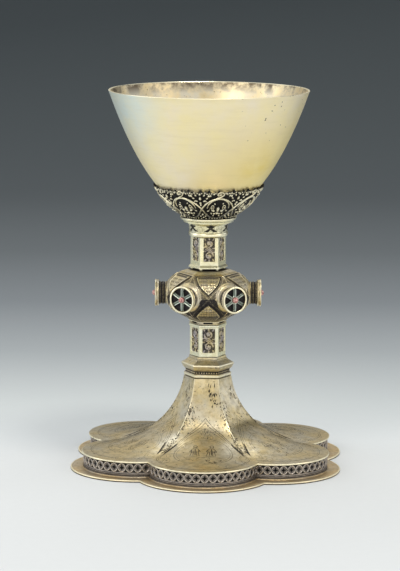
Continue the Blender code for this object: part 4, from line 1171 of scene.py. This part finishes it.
def makeBowl():
    _, high = boxes["bowl"]
    t = np.linspace(0.004, 1, bowl["rows"])
    outer = bezier(bowlCurve(), t)
    ahead = np.gradient(outer, axis=0)
    normal = np.stack([ahead[:, 1], -ahead[:, 0]], axis=-1)
    normal /= np.linalg.norm(normal, axis=1, keepdims=True)
    inner = (outer - normal * bowl["wall"])[:-1]
    rim, wall, top = bowl["rimRadius"], bowl["wall"], high[2]
    outerRows = [tuple(p) for p in outer[:-1]] + [(rim - 0.28, top - 0.75), (rim - 0.18, top - 0.6),
                                                  (rim, top - 0.35), (rim, top - 0.15)]
    rimRows = [(rim, top - 0.15), (rim - 0.2, top), (rim - wall, top - 0.03), (rim - wall - 0.2, top - 0.3)]
    innerRows = [rimRows[-1]] + [tuple(p) for p in inner[::-1] if p[1] < top - 0.8]
    angles = wholeTurn(bowl["columns"], -math.pi)
    shapes = [turnedShape([(r, z, 1.0) for r, z in rows], angles, closedRows=False, material=material)
              for material, rows in enumerate((outerRows, rimRows, innerRows))]
    addPiece("bowl_cup", shapes, [bowlOuter, brightGilding, bowlInner], ["bowl"])


makeBowl()
print("chalice: bowl made")


# calyx: a dark cup under scrolling stems, leaves and berries, in eight repeats; the cup's black is painted
# shade of the space behind the openwork, over tarnish
calyx = {"footRadius": 9.5, "crestSheet": 1.0, "gap": 0.3, "repeats": 8, "turn": -9.7, "stemRadius": 0.34,
         "cupInset": 0.45, "crestDepth": 2.3, "columns": 384, "seed": 11}


def calyxSurface(t):
    # radius, height and outward normal of the calyx at places along its curve
    low, high = boxes["calyx"]
    tall = high[2] - low[2]
    crest = bowlRadiusAt(high[2]) + calyx["gap"] + calyx["crestSheet"]
    width = crest - calyx["footRadius"]
    curve = [(calyx["footRadius"], low[2]), (calyx["footRadius"] + 0.33 * width, low[2] + 0.14 * tall),
             (calyx["footRadius"] + 0.76 * width, low[2] + 0.52 * tall), (crest, high[2])]
    point = bezier(curve, t)
    ahead = bezier(curve, np.asarray(t) + 0.005) - bezier(curve, np.asarray(t) - 0.005)
    normal = np.stack([ahead[..., 1], -ahead[..., 0]], axis=-1)
    return point, normal / np.linalg.norm(normal, axis=-1, keepdims=True)


def onCalyx(share, t, lift, repeat):
    # points on the calyx: share is in half repeats from a crossing, t runs up the curve
    share, t, lift = np.broadcast_arrays(*(np.asarray(value, float) for value in (share, t, lift)))
    point, normal = calyxSurface(t)
    angle = (2 * repeat + share) * math.pi / calyx["repeats"]
    place = fromFront(angle, point[..., 0] + lift * normal[..., 0], point[..., 1] + lift * normal[..., 1])
    out = fromFront(angle, normal[..., 0], normal[..., 1])
    return place, out


def makeCalyx():
    low, high = boxes["calyx"]
    shapes = []
    # black cup behind the openwork for the dark space between openwork and bowl, painted shade over tarnish,
    # with a crest of dark leaf tips against the bowl
    angles = wholeTurn(calyx["columns"], -math.pi)
    tip = np.abs(np.cos(calyx["repeats"] * 2.5 * angles)) ** 0.7
    tip = tip * (0.72 + 0.28 * np.cos(calyx["repeats"] * angles))
    t = np.linspace(0, 1.0, 22)
    point, normal = calyxSurface(t)
    outer = point - normal * calyx["cupInset"]
    crestDrop = calyx["crestDepth"] * (1 - tip)[None, :] * smooth((t - 0.8) / 0.2)[:, None]
    rows = fromFront(angles[None, :], outer[:, :1] - 0.35 * crestDrop, outer[:, 1:2] - crestDrop)
    inside = [(max(p[0] - 0.8, bowlRadiusAt(p[1] + 0.3) + 0.12), p[1] + 0.3) for p in outer[::-1]]
    inside = np.array([p for p in inside if p[0] > 7.4])
    drop = crestDrop[::-1][:len(inside)]
    rowsInside = fromFront(angles[None, :], inside[:, :1] - 0.35 * drop, inside[:, 1:2] - 0.3 - drop)
    shapes.append(gridShape(np.concatenate([rows, rowsInside]), 0.0, closedRows=True))
    stemPaths = [
        # (shares, places up the curve, thickness): arms that cross and arch over to the next crossing
        ([-0.52, -0.36, -0.18, 0.0, 0.18, 0.36, 0.56, 0.78, 1.0, 1.22, 1.42, 1.58, 1.66],
         [0.30, 0.36, 0.47, 0.60, 0.69, 0.765, 0.825, 0.86, 0.868, 0.85, 0.80, 0.72, 0.62], 1.15),
        # curl over the arch
        ([0.66, 0.84, 1.00, 1.13, 1.17, 1.08, 0.94, 0.86, 0.92, 1.02],
         [0.85, 0.878, 0.905, 0.94, 0.98, 1.012, 1.01, 0.975, 0.945, 0.955], 1.0),
        # loop low in the arch and the tendrils round its flower
        ([-0.30, -0.42, -0.58, -0.78, -1.0], [0.44, 0.36, 0.31, 0.285, 0.28], 0.9),
        ([0.46, 0.60, 0.72, 0.72, 0.60, 0.56], [0.55, 0.68, 0.69, 0.60, 0.585, 0.64], 0.65),
    ]
    leaves = [
        # (share, place, turn from upwards in degrees, length, width)
        # three-lobed leaf over the crossing
        (0.0, 0.68, 0, 2.1, 1.3), (0.0, 0.83, 0, 2.6, 1.5), (0.13, 0.80, 62, 2.0, 1.1),
        (0.20, 0.74, 100, 1.6, 0.9), (0.0, 0.945, 0, 1.8, 1.3), (0.16, 0.93, 40, 1.6, 1.0),
        (0.28, 0.865, 55, 1.6, 1.0),
        # flower inside the arch
        (1.0, 0.56, 0, 2.7, 1.9), (1.0, 0.50, 180, 2.3, 1.7), (0.84, 0.53, -68, 2.2, 1.5),
        (0.90, 0.46, -130, 1.7, 1.2),
        (0.66, 0.42, -20, 1.6, 1.0), (0.80, 0.72, -25, 1.4, 0.9),
        # small leaves between the legs
        (0.0, 0.44, 180, 2.0, 1.3), (0.14, 0.36, 150, 1.6, 1.0), (0.0, 0.24, 0, 1.8, 1.2),
        (0.5, 0.20, 0, 1.7, 1.1),
        (1.0, 0.20, 0, 1.6, 1.2), (0.32, 0.52, 60, 1.5, 0.9),
        # leaves along the crest
        (0.40, 0.905, 15, 2.0, 1.2), (0.54, 0.915, -10, 1.7, 1.0), (0.46, 0.975, 0, 1.4, 1.1),
        (0.68, 0.955, 0, 1.6, 1.1), (1.0, 1.0, 0, 1.0, 1.0), (0.24, 0.98, 8, 1.4, 1.0),
    ]
    # (share, place, size)
    berries = [(0.0, 0.755, 0.7), (1.0, 0.53, 0.75), (0.46, 0.925, 0.55), (0.97, 0.955, 0.55),
               (0.63, 0.625, 0.5), (0.30, 0.80, 0.45), (0.76, 0.99, 0.5), (0.10, 0.99, 0.5),
               (0.36, 0.975, 0.5), (0.57, 0.985, 0.5), (0.0, 0.89, 0.45), (0.22, 0.22, 0.5),
               (0.76, 0.22, 0.5), (0.78, 0.36, 0.5)]
    petal = petalShape(1.0, 1.0, 0.5, pointed=0.8, rows=7)
    berry = petalShape(2.0, 2.0, 0.8, pointed=0, rows=6)

    def addLeaf(repeat, share, place, turn, length, width, tone=1.0, kind=petal, lift=0.25):
        origin, out = onCalyx(share, place, lift, repeat)
        ahead, _ = onCalyx(share, place + 0.01, lift, repeat)
        up = ahead - origin
        up /= np.linalg.norm(up)
        right = np.cross(up, out)
        turn = math.radians(turn)
        along = up * math.cos(turn) + right * math.sin(turn)
        side = np.cross(along, out)
        axes = np.stack([side * width, along * length, out * min(width, length)])
        # dark round its edge, bright on its back
        back = kind["points"][:, 2] / kind["points"][:, 2].max()
        shapes.append({**kind, "points": kind["points"] @ axes + origin,
                       "relief": np.minimum(1, tone * (0.5 + 0.9 * back))})

    chance = np.random.default_rng(calyx["seed"])
    for repeat in range(calyx["repeats"]):
        for sign in (-1, 1):
            # dark leaf tips along the crest, no two alike
            for share in (0.08, 0.3, 0.5, 0.7, 0.92):
                size = chance.uniform(1.0, 2.1)
                addLeaf(repeat, sign * (share + chance.uniform(-0.06, 0.06)), 0.975, chance.uniform(-25, 25),
                        1.25 * size, size, chance.uniform(0.0, 0.5), petal, -0.05)
            for number, (shares, places, thick) in enumerate(stemPaths):
                if number == 1 and sign < 0:
                    continue
                fine = np.linspace(0, len(shares) - 1, 5 * len(shares) - 4)
                share = smoothPath(shares, fine) * sign
                place = smoothPath(places, fine)
                over = 0.5 + (0.2 if sign > 0 and number == 0 else 0.0) * np.exp(-(share / 0.12) ** 2)
                path, out = onCalyx(share, place, over, repeat)
                taper = np.clip(np.minimum(fine, fine[-1] - fine) / 1.2, 0.5, 1)
                # the legs are dark towards the foot
                shade = np.clip(0.45 + 1.6 * (place - 0.3), 0.35, 1.0)[:, None]
                shapes.append(tubeShape(path, calyx["stemRadius"] * thick * taper, shade, out))
            for share, place, turn, length, width in leaves:
                if sign > 0 or 0 < share < 1:
                    addLeaf(repeat, sign * share, place, sign * turn, length, 1.15 * width)
            for share, place, size in berries:
                if sign > 0 or 0 < share < 1:
                    addLeaf(repeat, sign * share, place - 0.008, 0, size, size, 1.0, berry, 0.45)
    for shape in shapes[1:]:
        shape["points"][:, 2] = np.minimum(shape["points"][:, 2], high[2] + 1.8)
        shape["points"][:, 2] = np.maximum(shape["points"][:, 2], low[2] + 0.05)
    addPiece("calyx_openwork", shapes, [castOpenwork], ["calyx"],
             math.radians(calyx["turn"]))


def smoothPath(values, at):
    # a curve through the values, read at fractional places
    values = np.array(values, dtype=float)
    padded = np.concatenate([[2 * values[0] - values[1]], values, [2 * values[-1] - values[-2]]])
    i = np.clip(np.floor(at).astype(int), 0, len(values) - 2)
    f = at - i
    p0, p1, p2, p3 = padded[i], padded[i + 1], padded[i + 2], padded[i + 3]
    return 0.5 * (2 * p1 + (p2 - p0) * f + (2 * p0 - 5 * p1 + 4 * p2 - p3) * f**2
                  + (3 * p1 - p0 - 3 * p2 + p3) * f**3)


makeCalyx()
print("chalice: calyx made")


# studio: one sweep of graded paper, soft lights and the camera
studio = {"floorBack": 1.1, "sweepRadius": 0.6, "floorFront": -2.4, "halfWidth": 2.2, "wallTop": 2.2,
          "gradedLength": 1.63, "paperDrop": 0.00005, "airColour": "#dfe2e4", "airStrength": 0.7}


def gradedPaper():
    # Matt paper, coloured from near white on the floor to slate grey up the wall: partly the paper's own
    # grey, partly painted falloff of the light. It gives a plain ground without a horizon.
    material, tree, shader, _ = newMaterial("graded paper, matt")
    along = addNode(tree, "Attribute", {"attribute_name": "along"}, output="Fac")
    # lighter on the floor near the object and darker up the wall: painted light falloff over the paper's own
    # grey
    tones = [(0.0, "#d1d5d8"), (0.028, "#cfd4d7"), (0.09, "#c0c6c8"), (0.19, "#9ca2a6"), (0.31, "#7b8186"),
             (0.46, "#646a6e"), (0.66, "#565c60"), (0.95, "#43494c")]
    ramp = addNode(tree, "ValToRGB", {"stops": [(share, linear(tone)) for share, tone in tones]}, {0: along})
    fibre = addNode(tree, "TexNoise", {"Scale": 900.0, "Detail": 3.0})
    grain = addNode(tree, "MapRange", {3: 0.985, 4: 1.015}, {0: fibre})
    feed(shader, {
        "Base Color": addNode(tree, "Mix", {"data_type": "RGBA", "blend_type": "MULTIPLY", 0: 1.0},
                              {6: ramp, 7: grain}),
        "Roughness": 0.9, "Specular IOR Level": 0.1})
    return material


def makeStage():
    back, radius = studio["floorBack"], studio["sweepRadius"]
    path = [(studio["floorFront"], 0.0), (-0.8, 0.0)] + [(y, 0.0) for y in np.linspace(-0.3, back, 30)]
    path += [(back + radius * math.sin(a), radius - radius * math.cos(a))
             for a in np.radians(np.linspace(4, 90, 30))]
    path = np.array(path + [(back + radius, studio["wallTop"])])
    lengths = np.concatenate([[0], np.cumsum(np.linalg.norm(np.diff(path, axis=0), axis=1))])
    along = (lengths + path[0, 0]) / studio["gradedLength"]
    points = [(side * studio["halfWidth"], y, z - studio["paperDrop"]) for side in (-1, 1) for y, z in path]
    count = len(path)
    faces = [(i, count + i, count + i + 1, i + 1) for i in range(count - 1)]
    mesh = bpy.data.meshes.new("paper_sweep")
    mesh.from_pydata(points, [], faces)
    tone = mesh.attributes.new("along", "FLOAT", "POINT")
    tone.data.foreach_set("value", np.tile(np.clip(along, 0, 1), 2).astype(np.float32))
    mesh.materials.append(gradedPaper())
    mesh.shade_smooth()
    paper = bpy.data.objects.new("paper_sweep", mesh)
    bpy.context.scene.collection.objects.link(paper)


def addSoftbox(name, place, aim, size, power, colour):
    light = bpy.data.lights.new(name, "AREA")
    light.shape = "RECTANGLE"
    light.size, light.size_y = size
    light.energy = power
    light.color = linear(colour)[:3]
    lamp = bpy.data.objects.new(name, light)
    lamp.location = place
    lamp.rotation_euler = (Vector(aim) - Vector(place)).to_track_quat("-Z", "Y").to_euler()
    lamp.visible_camera = False
    bpy.context.scene.collection.objects.link(lamp)


# soft lights: place in metres, what it points at, width and height, power in watts, colour
middle = (0, 0, 0.1)
lights = {
    "key_front_left": ((-0.9, -1.2, 1.2), middle, (0.9, 0.9), 8.5, "#fff6e8"),
    "fill_right": ((1.3, -0.7, 0.5), middle, (0.7, 1.3), 4.6, "#fff3e0"),
    "side_left": ((-1.4, -0.1, 0.5), middle, (0.6, 1.3), 5.3, "#f6f6f6"),
    "edge_left": ((-1.2, 0.75, 0.45), middle, (0.5, 1.1), 0.9, "#e8f0ff"),
    "edge_right": ((1.25, 0.6, 0.45), middle, (0.5, 1.1), 1.4, "#f3f6ff"),
    "high_right": ((0.27, -0.42, 1.35), middle, (0.26, 0.26), 5.4, "#fffaf0"),
    "overhead": ((0.1, 0.1, 1.6), middle, (0.9, 0.9), 2.9, "#ffffff"),
    "high_back": ((-0.25, 0.82, 1.32), middle, (1.6, 0.7), 5.1, "#ffffff"),
    # lies in front of the object, below the picture: it lights the underside of bowl and knot
    "front_card": ((0, -0.66, 0.03), (0, 0, 0.15), (1.3, 0.45), 1.4, "#fff8ec"),
    # low behind the object, above what the camera sees: it lights the plates of the foot
    "low_back": ((-0.22, 1.25, 0.62), (0, 0, 0.02), (2.0, 0.75), 2.35, "#fff8ea"),
}


def makeLights():
    world = bpy.data.worlds.new("studio_air")
    bpy.context.scene.world = world
    world.use_nodes = True
    background = world.node_tree.nodes["Background"]
    background.inputs["Color"].default_value = linear(studio["airColour"])
    background.inputs["Strength"].default_value = studio["airStrength"]
    for name, settings in lights.items():
        addSoftbox(name, *settings)


# the photo's view: lengths in metres, angles in degrees
camera = {"distance": 1.390, "pitch": 9.32, "aim": (-0.0043, 0.0, 0.0950), "lens": 164.1, "roll": 0.3}


def makeCamera():
    data = bpy.data.cameras.new("photo_camera")
    data.lens = camera["lens"]
    data.sensor_width = 36
    data.clip_start, data.clip_end = 0.05, 20
    view = bpy.data.objects.new("photo_camera", data)
    pitch = math.radians(camera["pitch"])
    back = Vector((0, -math.cos(pitch), math.sin(pitch)))
    view.location = Vector(camera["aim"]) + back * camera["distance"]
    facing = (-back).to_track_quat("-Z", "Y").to_matrix().to_4x4()
    roll = Matrix.Rotation(math.radians(camera["roll"]), 4, "Z")
    view.rotation_euler = (facing @ roll).to_euler()
    bpy.context.scene.collection.objects.link(view)
    bpy.context.scene.camera = view


makeStage()
makeLights()
makeCamera()
bpy.context.scene.view_settings.view_transform = "Standard"
print("chalice: studio made")
